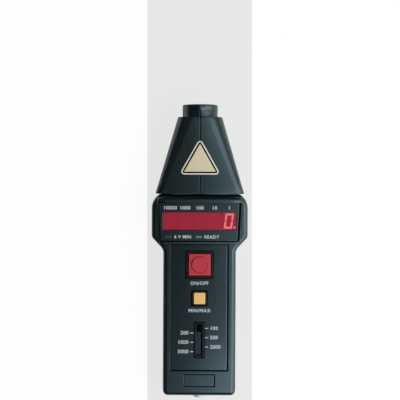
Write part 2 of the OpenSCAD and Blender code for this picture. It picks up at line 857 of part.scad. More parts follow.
module display_board() color(green) placed() on_display() difference() {
    translate([0, display_board_up + display_board_l / 2, display_board_z - board_t])
        plate(filter_w, display_board_l, board_t, 1);
    for (p = display_post_at)
        translate([p.x, p.y, display_board_z - board_t - over])
            cylinder(r = board_screw_r + fit, h = board_t + 2 * over);
}

// Header between the boards, cut to the lean of the display board
module board_header() color(ink) placed() difference() {
    translate([-header_w / 2, board_end - header_l - header_in, board_z])
        cube([header_w, header_l, display_z - board_z]);
    on_display()
        translate([-header_w, -display_l / 2, display_board_z - board_t - 0.1])
            cube([2 * header_w, display_l, display_z]);
}

module panel_cut(y, w, l)
    translate([0, y, -over])
        plate(w + 2 * fit, l + 2 * fit, panel_t + 2 * over, 1);

module control_panel() color(slate) placed() translate([0, 0, floor_z]) difference() {
    translate([0, panel_y + panel_l / 2, 0])
        plate(panel_w - 2 * fit, panel_l - 2 * fit, panel_t, 0.5);
    panel_cut(measure_y, measure_bezel_w, measure_bezel_w);
    panel_cut(recall_y, recall_bezel_w, recall_bezel_l);
    panel_cut(selector_y, selector_bezel_w, selector_bezel_l);
}

// Bezel: a frame on the recess floor with a sleeve down through it
module bezel(w, l, open_w, open_l) difference() {
    union() {
        translate([0, 0, floor_z])
            plate(w, l, bezel_z - floor_z, 0.8);
        translate([0, 0, ceiling_z])
            plate(open_w + 2 * sleeve_wall, open_l + 2 * sleeve_wall, floor_t + over, 0.8);
    }
    translate([0, 0, ceiling_z - over])
        plate(open_w, open_l, bezel_z - ceiling_z + 2 * over, 0.6);
}

// Button cap: tapered top, straight skirt, a flange that stays under the bezel and a socket for the plunger
module cap(w, l, rise, lean, roof) {
    hollow = bezel_z + rise - roof - skirt_z + over;
    difference() {
        union() {
            hull() {
                translate([0, 0, bezel_z])
                    plate(w, l, 0.1, 0.8);
                translate([0, 0, bezel_z + rise - 0.1])
                    plate(w - 2 * lean, l - 2 * lean, 0.1, 0.8);
            }
            translate([0, 0, skirt_z]) {
                plate(w, l, bezel_z + 0.05 - skirt_z, 0.8);
                plate(w + 2 * flange_w, l + 2 * flange_w, flange_t, 0.8);
            }
        }
        translate([0, 0, skirt_z - over]) {
            difference() {
                plate(w - 2 * cap_wall, l - 2 * cap_wall, hollow, 0.5);
                cylinder(r = socket_r, h = hollow + over);
            }
            cylinder(r = plunger_r + 0.05, h = hollow);
            cylinder(r = socket_r + 0.1, h = socket_z - skirt_z + over);
        }
    }
}

// Plunger from inside the switch to the roof of the cap
module plunger(rise, roof)
    translate([0, 0, switch_top - plunger_depth])
        cylinder(r = plunger_r, h = bezel_z + rise - roof - switch_top + plunger_depth);

module switch_body(w, travel) difference() {
    translate([0, 0, board_z])
        plate(w, w, switch_top - board_z, 0.6);
    translate([0, 0, switch_top - plunger_depth - travel - play])
        cylinder(r = plunger_r + play, h = plunger_depth + travel + play + over);
}

// Coil of round wire standing on Z = 0
coil_rings = 16;
coil_sides = 8;
module coil(r, wire, h, turns) {
    n = coil_rings * turns;
    points = [for (k = [0 : n]) for (j = [0 : coil_sides - 1])
        let (a = 360 * k / coil_rings, b = 360 * j / coil_sides, reach = r + wire * cos(b))
        [reach * cos(a), reach * sin(a), wire + (h - 2 * wire) * k / n + wire * sin(b)]];
    sides = [for (k = [0 : n - 1]) for (j = [0 : coil_sides - 1])
        [k * coil_sides + j, (k + 1) * coil_sides + j,
            (k + 1) * coil_sides + (j + 1) % coil_sides, k * coil_sides + (j + 1) % coil_sides]];
    start = [[for (j = [0 : coil_sides - 1]) j]];
    end = [[for (j = [coil_sides - 1 : -1 : 0]) n * coil_sides + j]];
    polyhedron(points, concat(sides, start, end));
}

// Return spring between a switch and its cap
module return_spring(r, top, turns)
    translate([0, 0, switch_top + 0.05])
        coil(r, wire_r, top - switch_top - 0.1, turns);

module measure_bezel() color(ink) placed() translate([0, measure_y, 0])
    bezel(measure_bezel_w, measure_bezel_w, measure_open_w, measure_open_w);

module measure_button() color(red) placed() translate([0, measure_y, 0]) {
    cap(measure_w, measure_w, measure_rise, measure_lean, measure_roof);
    translate([0, 0, bezel_z + measure_rise - 0.2])
        cylinder(d = disc_d, h = disc_h + 0.2);
}

module measure_plunger() color(ink) placed() translate([0, measure_y, 0])
    plunger(measure_rise, measure_roof);

module measure_spring() color(steel) placed() translate([0, measure_y, 0])
    return_spring(measure_spring_r, bezel_z + measure_rise - measure_roof, 3);

module measure_switch() color(ink) placed() translate([0, measure_y, 0])
    switch_body(measure_switch_w, measure_travel);

module recall_bezel() color(ink) placed() translate([0, recall_y, 0])
    bezel(recall_bezel_w, recall_bezel_l, recall_open_w, recall_open_l);

module recall_button() color(amber) placed() translate([0, recall_y, 0])
    cap(recall_w, recall_l, recall_rise, recall_lean, recall_roof);

module recall_plunger() color(ink) placed() translate([0, recall_y, 0])
    plunger(recall_rise, recall_roof);

module recall_spring() color(steel) placed() translate([0, recall_y, 0])
    return_spring(recall_spring_r, bezel_z + recall_rise - recall_roof, 3);

module recall_switch() color(ink) placed() translate([0, recall_y, 0])
    switch_body(recall_switch_w, recall_travel);

module selector_bezel() color(ink) placed() translate([0, selector_y, floor_z])
    difference() {
        plate(selector_bezel_w, selector_bezel_l, bezel_z - floor_z, 0.8);
        translate([0, 0, -over])
            plate(slot_w, slot_l, bezel_z - floor_z + 2 * over, 0.4);
    }

// Ribbed knob that slides over the recess floor on a stem from the switch
rib_count = 3;
rib_h = 0.3;
rib_l = 0.8;
knob_top = bezel_z - rib_h;
module selector_knob() color(ink) placed() translate([0, knob_y, 0]) {
    translate([0, 0, floor_z + 0.15])
        plate(knob_w, knob_l, knob_top - floor_z - 0.15, 0.5);
    for (i = [0 : rib_count - 1])
        translate([-knob_w / 2, (i - (rib_count - 1) / 2) * knob_l / rib_count - rib_l / 2, knob_top - 0.1])
            cube([knob_w, rib_l, rib_h + 0.1]);
    translate([-stem_w / 2, -stem_l / 2, selector_switch_top - stem_depth])
        cube([stem_w, stem_l, knob_top - selector_switch_top + stem_depth - 0.2]);
}

// Overhang of the selector's switch past each end of its slot
switch_lap = 3;
module selector_switch() color(ink) placed() translate([0, selector_y, 0]) difference() {
    translate([0, 0, board_z])
        plate(selector_bezel_w, slot_l + 2 * switch_lap, selector_switch_top - board_z, 0.5);
    translate([0, 0, selector_switch_top - stem_depth - play])
        plate(stem_w + 2 * play, selector_travel + stem_l + 2 * play, stem_depth + play + over, 0.5);
}

module main_board() color(green) placed() difference() {
    translate([0, (board_y + board_end) / 2, board_z - board_t])
        plate(board_w, board_end - board_y, board_t, 1);
    for (p = board_screw_at)
        translate([p.x, p.y, board_z - board_t - over])
            cylinder(r = board_screw_r + fit, h = board_t + 2 * over);
}

// Dual in-line chip: a body with two rows of bent pins that stand on the board
chip_w = 13;
chip_l = 51;
chip_h = 3.6;
chip_x = board_w / 2 - chip_w / 2 - 1.5;
pin_count = 20;
pin_step = 2.54;
module microcontroller() color(ink) placed() translate([-chip_x, (measure_y + selector_y) / 2, board_z]) {
    translate([0, 0, 0.6])
        plate(chip_w, chip_l, chip_h, 0.3);
    for (side = [-1, 1])
        for (i = [0 : pin_count - 1])
            translate([side * (chip_w / 2 + 0.1) - 0.2, (i - (pin_count - 1) / 2) * pin_step - 0.25, 0])
                cube([0.4, 0.5, 2.4]);
}

crystal_w = 4.6;
crystal_l = 11;
module crystal() color(steel) placed() translate([chip_x, (measure_y + selector_y) / 2, board_z])
    plate(crystal_w, crystal_l, 3.5, 2.2);

jack_body_w = 9;
jack_body_l = 12;
module output_jack() color(ink) placed() difference() {
    union() {
        along_y(end_wall + 0.2, jack_z)
            plate(jack_body_w, jack_body_w, jack_body_l, 0.6);
        along_y(-jack_out, jack_z)
            cylinder(r = jack_sleeve_r, h = end_wall + jack_out + over);
    }
    along_y(-jack_out - over, jack_z)
        cylinder(r = jack_bore_r, h = jack_out + end_wall + jack_body_l - 2);
}

// Round nut with two spanner slots
nut_proud = 1.4;
module jack_nut() color(steel) placed() along_y(jack_seat, jack_z) mirror([0, 0, 1]) difference() {
    cylinder(r = jack_nut_r, h = jack_seat + nut_proud);
    translate([0, 0, -over])
        cylinder(r = jack_sleeve_r + 0.05, h = jack_seat + nut_proud + 2 * over);
    translate([-jack_nut_r - over, -0.5, jack_seat + nut_proud - 0.6])
        cube([2 * (jack_nut_r + over), 1, 0.6 + over]);
}

// Battery, standing on its flat end
module battery_form() {
    cylinder(d = cell_d, h = cell_l - nub_h);
    cylinder(r = nub_r, h = cell_l);
}

// Two columns of two: the first faces the nose, and the second is the same turned end for end
cells_y = tub_y + 0.2 + contact_t + spring_l;
module in_column(column)
    translate([0, tub_y + tub_l / 2, 0]) rotate([0, 0, 180 * column])
        translate([-(cell_d + cell_gap) / 2, -tub_y - tub_l / 2, 0]) children();

module battery(column, place) color(place == 0 ? amber : steel) placed() in_column(column)
    along_y(cells_y + place * cell_l, cell_z) battery_form();

contact_d = 12;
module contact_plates() color(steel) placed()
    for (column = [0, 1])
        in_column(column)
            translate([-contact_d / 2, tub_y + 0.1, cell_z - contact_d / 2]) {
                cube([contact_d, contact_t, contact_d]);
                translate([0, tub_l - contact_t - 0.2, 0])
                    cube([contact_d, contact_t, contact_d]);
            }

module contact_springs() color(steel) placed()
    for (column = [0, 1])
        in_column(column)
            along_y(tub_y + 0.1 + contact_t + 0.02, cell_z)
                coil(contact_spring_r, contact_wire_r, spring_l + 0.05, 3);

module tripod_bush() color(brass) placed() translate([0, bush_y, fit]) difference() {
    cylinder(r = bush_r, h = bush_l - fit);
    translate([0, 0, -over])
        cylinder(r = tripod_r, h = bush_l + 2 * over);
}

// Screw with a cross slot, pointing up from the underside of its head
module screw(head_r, head_t, r, l) difference() {
    union() {
        translate([0, 0, -head_t])
            cylinder(r = head_r, h = head_t);
        cylinder(r = r, h = l);
    }
    for (turn = [0, 90])
        rotate([0, 0, turn])
            translate([-head_r * 0.6, -0.35, -head_t - over])
                cube([head_r * 1.2, 0.7, over + head_t / 2]);
}

module case_screws() color(steel) placed()
    for (p = case_screw_at)
        translate([p.x, p.y, screw_seat_z])
            screw(screw_head_r, screw_head_t, screw_r, joint_z - screw_seat_z + screw_reach);

module board_screw() screw(board_screw_head_r, board_screw_head_t, board_screw_r, board_t + board_screw_reach - play);

module board_screws() color(steel) placed() {
    for (p = board_screw_at)
        translate([p.x, p.y, board_z - board_t])
            board_screw();
    on_display()
        for (p = display_post_at)
            translate([p.x, p.y, display_board_z - board_t])
                board_screw();
}

front_shell();
rear_shell();
battery_cover();
nose_left();
nose_right();
window_ring();
nose_lens();
laser_module();
sensor_board();
photodiode();
sensor_lead();
display_surround();
display_filter();
for (place = [1 : 5])
    digit(place);
lamp(low_lamp_x);  // low_battery_lamp
lamp(target_lamp_x);  // target_lamp
display_board();
board_header();
control_panel();
measure_bezel();
measure_button();
measure_plunger();
measure_spring();
measure_switch();
recall_bezel();
recall_button();
recall_plunger();
recall_spring();
recall_switch();
selector_bezel();
selector_knob();
selector_switch();
main_board();
microcontroller();
crystal();
output_jack();
jack_nut();
for (place = [1 : 4])
    battery(floor((place - 1) / 2), (place - 1) % 2);
contact_plates();
contact_springs();
tripod_bush();
case_screws();
board_screws();
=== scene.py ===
"""Looks of a handheld laser tachometer: moulded case, split nose, red display, keys and slide selector.

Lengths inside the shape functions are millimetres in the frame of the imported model. X runs across the
grip, Y from the tail to the nose and Z up out of the face.
"""

import json
import math

import bmesh
import bpy
import numpy as np
from bpy.props import FloatProperty, FloatVectorProperty, PointerProperty
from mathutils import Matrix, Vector, geometry


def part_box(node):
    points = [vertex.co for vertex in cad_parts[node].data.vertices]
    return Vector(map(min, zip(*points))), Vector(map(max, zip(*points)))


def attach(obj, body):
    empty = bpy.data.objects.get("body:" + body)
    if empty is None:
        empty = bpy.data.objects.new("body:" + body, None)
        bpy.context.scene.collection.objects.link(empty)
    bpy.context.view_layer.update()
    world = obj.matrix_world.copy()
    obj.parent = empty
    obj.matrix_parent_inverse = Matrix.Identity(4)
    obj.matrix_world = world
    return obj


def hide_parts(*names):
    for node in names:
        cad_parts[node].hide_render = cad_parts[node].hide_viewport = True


bl_info = {
    "name": "Laser tachometer",
    "version": (1, 0, 0),
    "blender": (4, 5, 0),
    "location": "View3D > Sidebar > Tachometer",
    "description": "Dresses the packed laser tachometer with surfaces, finishes and a plain stage",
    "category": "Object",
}

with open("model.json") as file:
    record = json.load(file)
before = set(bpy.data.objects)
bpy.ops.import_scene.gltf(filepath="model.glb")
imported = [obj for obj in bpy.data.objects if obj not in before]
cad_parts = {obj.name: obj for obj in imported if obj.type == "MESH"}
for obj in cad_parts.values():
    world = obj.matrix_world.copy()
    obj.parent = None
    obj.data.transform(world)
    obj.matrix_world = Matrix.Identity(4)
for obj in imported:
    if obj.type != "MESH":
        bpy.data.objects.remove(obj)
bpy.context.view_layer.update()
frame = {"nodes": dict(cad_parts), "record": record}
SLOT_OF = {part["node"]: part["material_slot"] for part in frame["record"]["subparts"]}
MM = 0.001


def span(node):
    """Lowest and highest corner of a CAD node, in millimetres."""
    return np.array([list(corner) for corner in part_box(node)]) / MM


SHELL = span("front_shell")
PANEL = span("control_panel")
MEASURE = span("measure_bezel")
MEASURE_KEY = span("measure_button")
RECALL = span("recall_bezel")
RECALL_KEY = span("recall_button")
SELECTOR = span("selector_bezel")
KNOB = span("selector_knob")
RING = span("window_ring")
TAIL = SHELL[0, 1]
JOINT_Z = SHELL[0, 2]
FACE_Z = 40.0
FLOOR_Z = PANEL[0, 2]
PANEL_Z = PANEL[1, 2]
BEZEL_Z = MEASURE[1, 2]

# Meshes: the flat border beside rounded edges, the welding distance in metres, and the angles over which
# edges stay sharp on pieces and on solids
BORDER = 0.25
WELD = 2e-6
PIECE_SHARP = math.radians(32)
SOLID_SHARP = math.radians(30)

# Case: the right-hand side of its plan from tail to nose, the radius of each corner, the lean of the wall,
# and the wall's foot as pairs of inset and height over the joint of the shells
SIDE = np.array([[31.0, 0.0], [31.0, 123.2], [41.0, 133.7], [41.0, 164.7], [34.5, 170.4]]) + [0, TAIL]
SIDE_ROUND = np.array([4.7, 8.0, 6.0, 14.0, 5.0])
SIDE_LEAN = 0.5
WALL_FOOT = ((2.5, 1.5), (1.2, 0.06), (0.4, 0.06), (0.14, 0.14), (0.03, 0.4))

# Recess in the tail and the bare plate in it: middle, width, length and corner radius, and their heights.
# The plate sits left of the middle on a black floor, painted shade in the gaps round it, widest on its right
BADGE = ((0.2, TAIL + 13.1), 26.2, 10.6, 0.6)
BADGE_Z = FACE_Z - 0.6
BLANK = ((-0.15, TAIL + 13.1), 25.1, 9.4, 0.4)
BLANK_Z = FACE_Z - 0.1
PLATE_EDGE = 0.12
THIN_EDGE = 0.15

# Display block: where the rounding starts at foot and brow, its radius there and half the width between the
# sides, then the height of the rounding's axis, the depth of the brow's end and the least rim
BLOCK_Y = (129.2 + TAIL, 164.2 + TAIL)
BLOCK_ROUND = (1.0, 5.0)
BLOCK_HALF = (33.2, 31.4)
BLOCK_Z = 39.12
BLOCK_SKIRT = 1.6
BLOCK_RIM = 0.02

# Display face: its lower end, lean, length, half its width at both ends, corners and depth. Its axes run
# across it, up it and out of it
DISPLAY_Y = 129.781 + TAIL
DISPLAY_Z = 40.2235
DISPLAY_TILT = math.radians(6.5625)
DISPLAY_LENGTH = 33.5
DISPLAY_HALF = (33.6, 35.2)
DISPLAY_ROUND = 0.25
DISPLAY_DEPTH = 2.0
TILT_COS, TILT_SIN = math.cos(DISPLAY_TILT), math.sin(DISPLAY_TILT)
DISPLAY_AXES = np.array([[1, 0, 0], [0, TILT_COS, TILT_SIN], [0, -TILT_SIN, TILT_COS]])
DISPLAY_FOOT = np.array([0, DISPLAY_Y, DISPLAY_Z])
DISPLAY_END = DISPLAY_Y + DISPLAY_LENGTH * TILT_COS

# Pieces of the display along its axes, where W is the height out of it. Sizes are width, length and corner
SURROUND_W = -1.0
SURROUND_SCALE = (0.985, 1)
SURROUND_SHIFT = (-0.75, 0.25)
# Width of the black strip on the display's floor: painted shade in the gaps right of and below the surround
PAINTED_SHADE_STRIP = 3.0
FILTER_SIZE = (61.8, 14.8, 0.3)
FILTER_UP = 17.7
FILTER_DEPTH = 2.2
LAMP_SIZE = (4.7, 2.0, 0.2)
LAMP_UP = 4.3
LAMP_ACROSS = (-25.8, -0.5)
LAMP_TOP = SURROUND_W + 0.25
LAMP_FOOT = -9.0
LAMP_EDGE = 0.3
DIGIT_W = -3.5
DIGIT_PITCH = 12.48
DIGIT_LAST = 2 * DIGIT_PITCH - 0.4
SEGMENT_HIGH = 0.05
VALUES_UP = 28.9

# Nose: its axis, its ends, half-width, half-depth and corner radius at each end, the lean of the swelling
# front beside its corners, and the steps at both ends as pairs of Y and a change of those three sizes
NOSE_Z = 20.7
NOSE_Y = 170.8 + TAIL
COLLAR_Y = 235.8 + TAIL
RING_Y = RING[0, 1]
CONE_BASE = np.array([37.5, 20.2, 6.0])
CONE_END = np.array([18.9, 18.9, 13.0])
CONE_SWELL = math.radians(2.0)
BASE_STEPS = ((-0.34, (-9, -9, -4)), (-0.34, (-1.6, -1.6, -1)), (0, (-1.5, -1.5, -1)))
COLLAR_ROUND = 15.0
COLLAR_STEPS = ((0.02, (0.5, 0.5, 0)), (0.15, (0.12, 0.12, 0.1)), (0.5, (0, 0, 0)))

# Window ring: pairs of radius and distance up from its foot, then down from its front, and its rounding
RING_FOOT = ((13.3, 0), (14.6, 0), (14.88, 0.12), (COLLAR_ROUND, 0.4))
RING_MOUTH = ((11.75, 0), (11.6, 0.03), (11.0, 0.6), (11.0, 1.8))
RING_ROUND = 1.2

# Bare triangle on the nose: its corners, their radius, and look, inset and height of each layer. The black
# middle layer is painted shade of a groove between the pale rim and the cream field
TRIANGLE = np.array([[17.6, 186.8], [0, 217.9], [-17.6, 186.8]]) + [0, TAIL]
TRIANGLE_ROUND = 2.6
TRIANGLE_LAYERS = (("rim", 0.0, 0.30), ("bed", 1.1, 0.32), ("cream", 2.45, 0.34))

# Controls: the play round panel and bezels, the panel's recess, its plate, which gives up a little for dark
# gaps
# # over a black sheet of painted shade, and the openings in that sheet, as middle, width, length and corner
PLAY = 0.4
TRAY = (PANEL, PLAY, 0.6)
PLATE = PANEL + [[0, 0.8, 0], [-1.0, -0.4, 0]]
WELLS = (
    (MEASURE[:, :2].mean(0), 21.5, 21.5, 1),
    (RECALL[:, :2].mean(0), 12.2, 12.6, 1),
    (SELECTOR[:, :2].mean(0) - [0.7, 0], 3.9, 24.5, 0.4),
)
WELL_DEPTH = 2
BEZEL_GAP = 1.4

# Selector: where its knob rests, the shutter that moves with it, and the pitch of its ticks
KNOB_Y = KNOB[:, 1].mean()
SHUTTER = ((-0.7, KNOB_Y - 10.2), 3.7, 24.6, 0.2)
SHUTTER_Z = (FLOOR_Z - 0.3, FLOOR_Z - 0.5)
TICK_PITCH = 3.95

# Print: its height and the weight added to the font's strokes
PRINT_HIGH = 0.03
PRINT_WEIGHT = 0.03

# Finishes: scale of the mottle and the scuffs, the noise that counts as a scuff, the swing of the roughness
# to either side, and the height of the grain in metres
MOTTLE_SCALE = 55
SCUFF_SCALE = 950
SCUFF_PEAKS = (0.66, 0.80)
ROUGH_SWING = 0.06
GRAIN_HIGH = 0.0002


def number(name, words, value, unit="LENGTH", **kind):
    """A number property with its default, in metres or in another unit."""
    return FloatProperty(name=name, description=words, default=value, unit=unit, **kind)


def colour(name, words, value):
    """A colour property with its default in linear light."""
    return FloatVectorProperty(name=name, description=words, default=value, subtype="COLOR", min=0, max=1)


class TachometerSizes(bpy.types.PropertyGroup):
    """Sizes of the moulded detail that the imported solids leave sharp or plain."""

    face_round: number("Face edge", "Rounding of the face's edge", 0.0032)
    crisp_round: number("Crisp edge", "Rounding of recess edges", 0.00015)
    key_round: number("Key edge", "Rounding of the keys' top edges", 0.0004)
    seam_width: number("Seam", "Width of the seam in the nose", 0.0009)
    seam_depth: number("Seam depth", "Depth of the seam in the nose", 0.002)
    numeral_height: number("Numerals", "Size of the printed numerals", 0.0031)


class TachometerColours(bpy.types.PropertyGroup):
    """Colours of the finishes, in linear light."""

    case: colour("Case", "Slate black of the mouldings", (0.0024, 0.0042, 0.0046))
    panel: colour("Panel", "Satin black of the control panel", (0.0016, 0.0029, 0.0033))
    trim: colour("Trim", "Black of the bezels and the window ring", (0.0030, 0.0042, 0.0046))
    # This black also colours the sheets painted as shade in gaps, slots and recess floors
    knob: colour("Knob", "Matt black of the selector knob", (0.0008, 0.0012, 0.0012))
    red_key: colour("Red key", "Red of the measuring key", (0.41, 0.022, 0.037))
    amber_key: colour("Amber key", "Amber of the recall key", (0.71, 0.418, 0.137))
    filter: colour("Filter", "Red of the display filter", (0.46, 0.026, 0.056))
    cream: colour("Cream", "Cream of the bare plate on the nose", (0.60, 0.50, 0.337))
    ink: colour("Print", "Pale grey of the printed marks", (0.55, 0.57, 0.57))


class TachometerStage(bpy.types.PropertyGroup):
    """Light and camera."""

    key_power: number("Key light", "Power of the large soft light", 22.5, "POWER")
    gloss: number("Gloss", "Strength of the small lights that draw the gloss", 1.0, "NONE", min=0)
    fill_power: number("Fill light", "Power of the weak light opposite", 0.3, "POWER")
    sky: number("Sky", "Strength of the even light all round", 0.036, "NONE", min=0)
    camera_height: number("Camera height", "Height above the floor", 1.53)
    frame_width: number("Frame", "Width seen at the face", 0.3395)
    roll: number("Roll", "Turn of the camera", 0.0045, "NONE", subtype="ANGLE")


# Shapes


def unit(v):
    """Each vector over its own length."""
    return v / np.linalg.norm(v, axis=-1, keepdims=True)


def rounded(corners, radii, inset, steps):
    """Closed anticlockwise outline. Each corner moves in from both its sides by the inset, and gives way
    to an arc that touches both sides and has the corner's radius, less the inset, or more at a hollow."""
    least_radius, most_of_side = 0.02, 0.8
    b = np.asarray(corners, float)
    out = unit(np.roll(b, -1, 0) - b)
    into = np.roll(out, 1, 0)
    n, m = into[:, ::-1] * [-1, 1], out[:, ::-1] * [-1, 1]
    p = b + (n + m) * inset / (1 + (n * m).sum(1, keepdims=True))
    side = np.roll(p, -1, 0) - p
    v = unit(side)
    u = -np.roll(v, 1, 0)
    half = np.arccos(np.clip((u * v).sum(1), -1, 1)) / 2
    bend = np.sign(into[:, 0] * out[:, 1] - into[:, 1] * out[:, 0])
    radius = np.maximum(np.asarray(radii) - inset * bend, least_radius)
    room = np.linalg.norm(side, axis=1)
    reach = np.minimum(radius / np.tan(half), most_of_side * np.minimum(room, np.roll(room, 1)))
    radius = reach * np.tan(half)
    centre = p + unit(u + v) * (radius / np.sin(half))[:, None]
    first, last = p + u * reach[:, None] - centre, p + v * reach[:, None] - centre
    start = np.arctan2(first[:, 1], first[:, 0])
    sweep = (np.arctan2(last[:, 1], last[:, 0]) - start + math.pi) % (2 * math.pi) - math.pi
    angle = start[:, None] + sweep[:, None] * np.linspace(0, 1, steps + 1)
    arc = np.stack([np.cos(angle), np.sin(angle)], -1) * radius[:, None, None]
    return (centre[:, None] + arc).reshape(-1, 2)


def case_plan(inset):
    """Outline of the case, drawn in by the inset: the right-hand corners, then their mirror."""
    corners = np.concatenate([SIDE, SIDE[::-1] * [-1, 1]])
    return rounded(corners, np.concatenate([SIDE_ROUND, SIDE_ROUND[::-1]]), inset, steps=10)


def box_plan(centre, width, length, radius):
    """Function of an inset that gives the outline of a rectangle with round corners."""
    corners = np.array([[1, -1], [1, 1], [-1, 1], [-1, -1]]) * [width / 2, length / 2] + centre
    return lambda inset: rounded(corners, np.full(4, radius), inset, steps=6)


def around(part, play, radius):
    """Plan of a CAD node seen from the face, with the play added to its width and its length."""
    return box_plan(part[:, :2].mean(0), *(np.ptp(part[:, :2], 0) + play), radius)


def level(outline, z):
    """Outline raised to a height."""
    return np.column_stack([outline, np.full(len(outline), float(z))])


def grid(points, wrap=True, flip=False):
    """Patch of quads through a grid of points. Rows run from the outside over the top to the middle and
    columns anticlockwise, and flip turns the faces round."""
    rows, columns = points.shape[:2]
    index = np.arange(rows * columns).reshape(rows, columns)
    along = np.roll(index, -1, 1) if wrap else index[:, 1:]
    index = index if wrap else index[:, :-1]
    quads = np.stack([index[:-1], along[:-1], along[1:], index[1:]], -1).reshape(-1, 4)
    return points.reshape(-1, 3), (quads[:, ::-1] if flip else quads).tolist()


def swept(plan, profile):
    """Profile of (inset, height) pairs carried round an outline."""
    return grid(np.stack([level(plan(inset), z) for inset, z in profile]))


def lid(points, flip=False):
    """One flat face across a closed ring of points."""
    order = list(range(len(points)))
    return np.asarray(points, float), [order[::-1] if flip else order]


def sheet(outer, holes, z):
    """Flat patch between an outline and the holes in it: a constrained triangulation in the plane, of which
    those triangles stay whose middle is enclosed by an odd number of outlines."""
    loops = [outer, *holes]
    a = np.concatenate(loops)
    index = np.arange(len(a))
    rings = np.split(index, np.cumsum([len(loop) for loop in loops])[:-1])
    ahead = np.concatenate([np.roll(ring, -1) for ring in rings])
    edges = np.stack([index, ahead], 1)
    found = geometry.delaunay_2d_cdt([Vector(p) for p in a.tolist()], edges.tolist(), [], 0, 1e-5)
    flat = np.array([list(p) for p in found[0]])
    faces = np.array([list(face) for face in found[2]])
    middle = flat[faces].mean(1)[:, None]
    b = a[ahead]
    across = (a[:, 1] > middle[..., 1]) != (b[:, 1] > middle[..., 1])
    with np.errstate(divide="ignore", invalid="ignore"):
        reach = a[:, 0] + (middle[..., 1] - a[:, 1]) * (b[:, 0] - a[:, 0]) / (b[:, 1] - a[:, 1])
    inside = (across & (middle[..., 0] < reach)).sum(1) % 2 == 1
    return level(flat, z), faces[inside].tolist()


def quarter_turn(radius, steps):
    """How far a quarter of a circle has come in, and how far it still is below its top, from the side up."""
    a = np.linspace(0, math.pi / 2, steps + 1)
    return radius * (1 - np.cos(a)), radius * (1 - np.sin(a))


def rim(radius, top, side, steps):
    """Profile of a convex edge: a quarter turn from the vertical side up to the flat top, and a narrow flat
    border, which keeps the top's shading level."""
    into, below = quarter_turn(radius, steps)
    return [*zip(side + into, top - below), (side + radius + BORDER, top)]


def drop(radius, top, floor, steps=3):
    """Profile of a recess: a narrow flat border, a quarter turn from the flat top over the edge, then
    straight down to the floor."""
    into, below = quarter_turn(radius, steps)
    return [(-radius - BORDER, top), *zip(-below, top - into), (0.0, floor)]


def tile(plan, top, bottom, round_off):
    """Thin plate: its wall, an eased edge and a flat top."""
    profile = [(0.0, bottom), *rim(round_off, top, 0.0, steps=3)]
    return [swept(plan, profile), lid(level(plan(profile[-1][0]), top))]


def slab(plan, top, bottom, round_off):
    """Plate that is closed on its underside too."""
    return [*tile(plan, top, bottom, round_off), lid(level(plan(0), bottom), flip=True)]


def prism(outline, z, height):
    """Thin solid over an outline: a straight wall and a flat top."""
    top = level(outline, z + height)
    return [grid(np.stack([level(outline, z), top])), lid(top)]


def bar(centre, width, length, z, height=PRINT_HIGH, radius=0.05):
    """Thin oblong bar."""
    return prism(box_plan(centre, width, length, radius)(0), z, height)


def lettering(words, size, centre, z, align="CENTER"):
    """Words or numerals as a solid patch: the font's own outline, filled and given the print's height."""
    curve = bpy.data.curves.new("numerals", "FONT")
    curve.body = words
    curve.size = size
    curve.extrude = PRINT_HIGH
    curve.align_x, curve.align_y = align, "CENTER"
    curve.space_character = 1.08
    curve.offset = PRINT_WEIGHT
    curve.resolution_u = 3
    holder = linked("numerals", curve)
    bpy.context.view_layer.update()
    mesh = bpy.data.meshes.new_from_object(holder.evaluated_get(bpy.context.evaluated_depsgraph_get()))
    points = np.empty(len(mesh.vertices) * 3)
    mesh.vertices.foreach_get("co", points)
    faces = [list(face.vertices) for face in mesh.polygons]
    bpy.data.objects.remove(holder)
    bpy.data.curves.remove(curve)
    bpy.data.meshes.remove(mesh)
    return points.reshape(-1, 3) + [*centre, z + PRINT_HIGH], faces


# Making objects


def linked(name, data):
    """New object in the scene."""
    piece = bpy.data.objects.new(name, data)
    bpy.context.scene.collection.objects.link(piece)
    return piece


def make(name, patches, body, look, stands_for=()):
    """One object from patches in millimetres: the seams are welded, and edges over the sharp angle are kept
    sharp. It rides on the body and takes the place of the nodes that it stands for."""
    starts = np.cumsum([0] + [len(points) for points, _ in patches])
    points = np.concatenate([points for points, _ in patches]) * MM
    faces = [[i + start for i in face] for (_, part), start in zip(patches, starts) for face in part]
    mesh = bpy.data.meshes.new(name)
    mesh.from_pydata(points.tolist(), [], faces)
    work = bmesh.new()
    work.from_mesh(mesh)
    bmesh.ops.remove_doubles(work, verts=work.verts, dist=WELD)
    bmesh.ops.dissolve_degenerate(work, edges=work.edges, dist=WELD / 2)
    work.to_mesh(mesh)
    work.free()
    mesh.shade_smooth()
    mesh.set_sharp_from_angle(angle=PIECE_SHARP)
    mesh.materials.append(finish_for(look))
    piece = linked(name, mesh)
    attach(piece, body)
    if stands_for:
        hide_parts(*stands_for)


def put(node, **values):
    """Values of a node's sockets, in whose names an underscore stands for a space."""
    for socket, value in values.items():
        node.inputs[socket.replace("_", " ")].default_value = value
    return node


def colour_mix(tree, **values):
    """Node that mixes two colours."""
    node = tree.nodes.new("ShaderNodeMix")
    node.data_type = "RGBA"
    return put(node, **values)


def wire(tree, *links):
    """Joined nodes. Each link holds a node, its output, the next node and its input."""
    for node, output, following, socket in links:
        tree.links.new(node.outputs[output], following.inputs[socket])


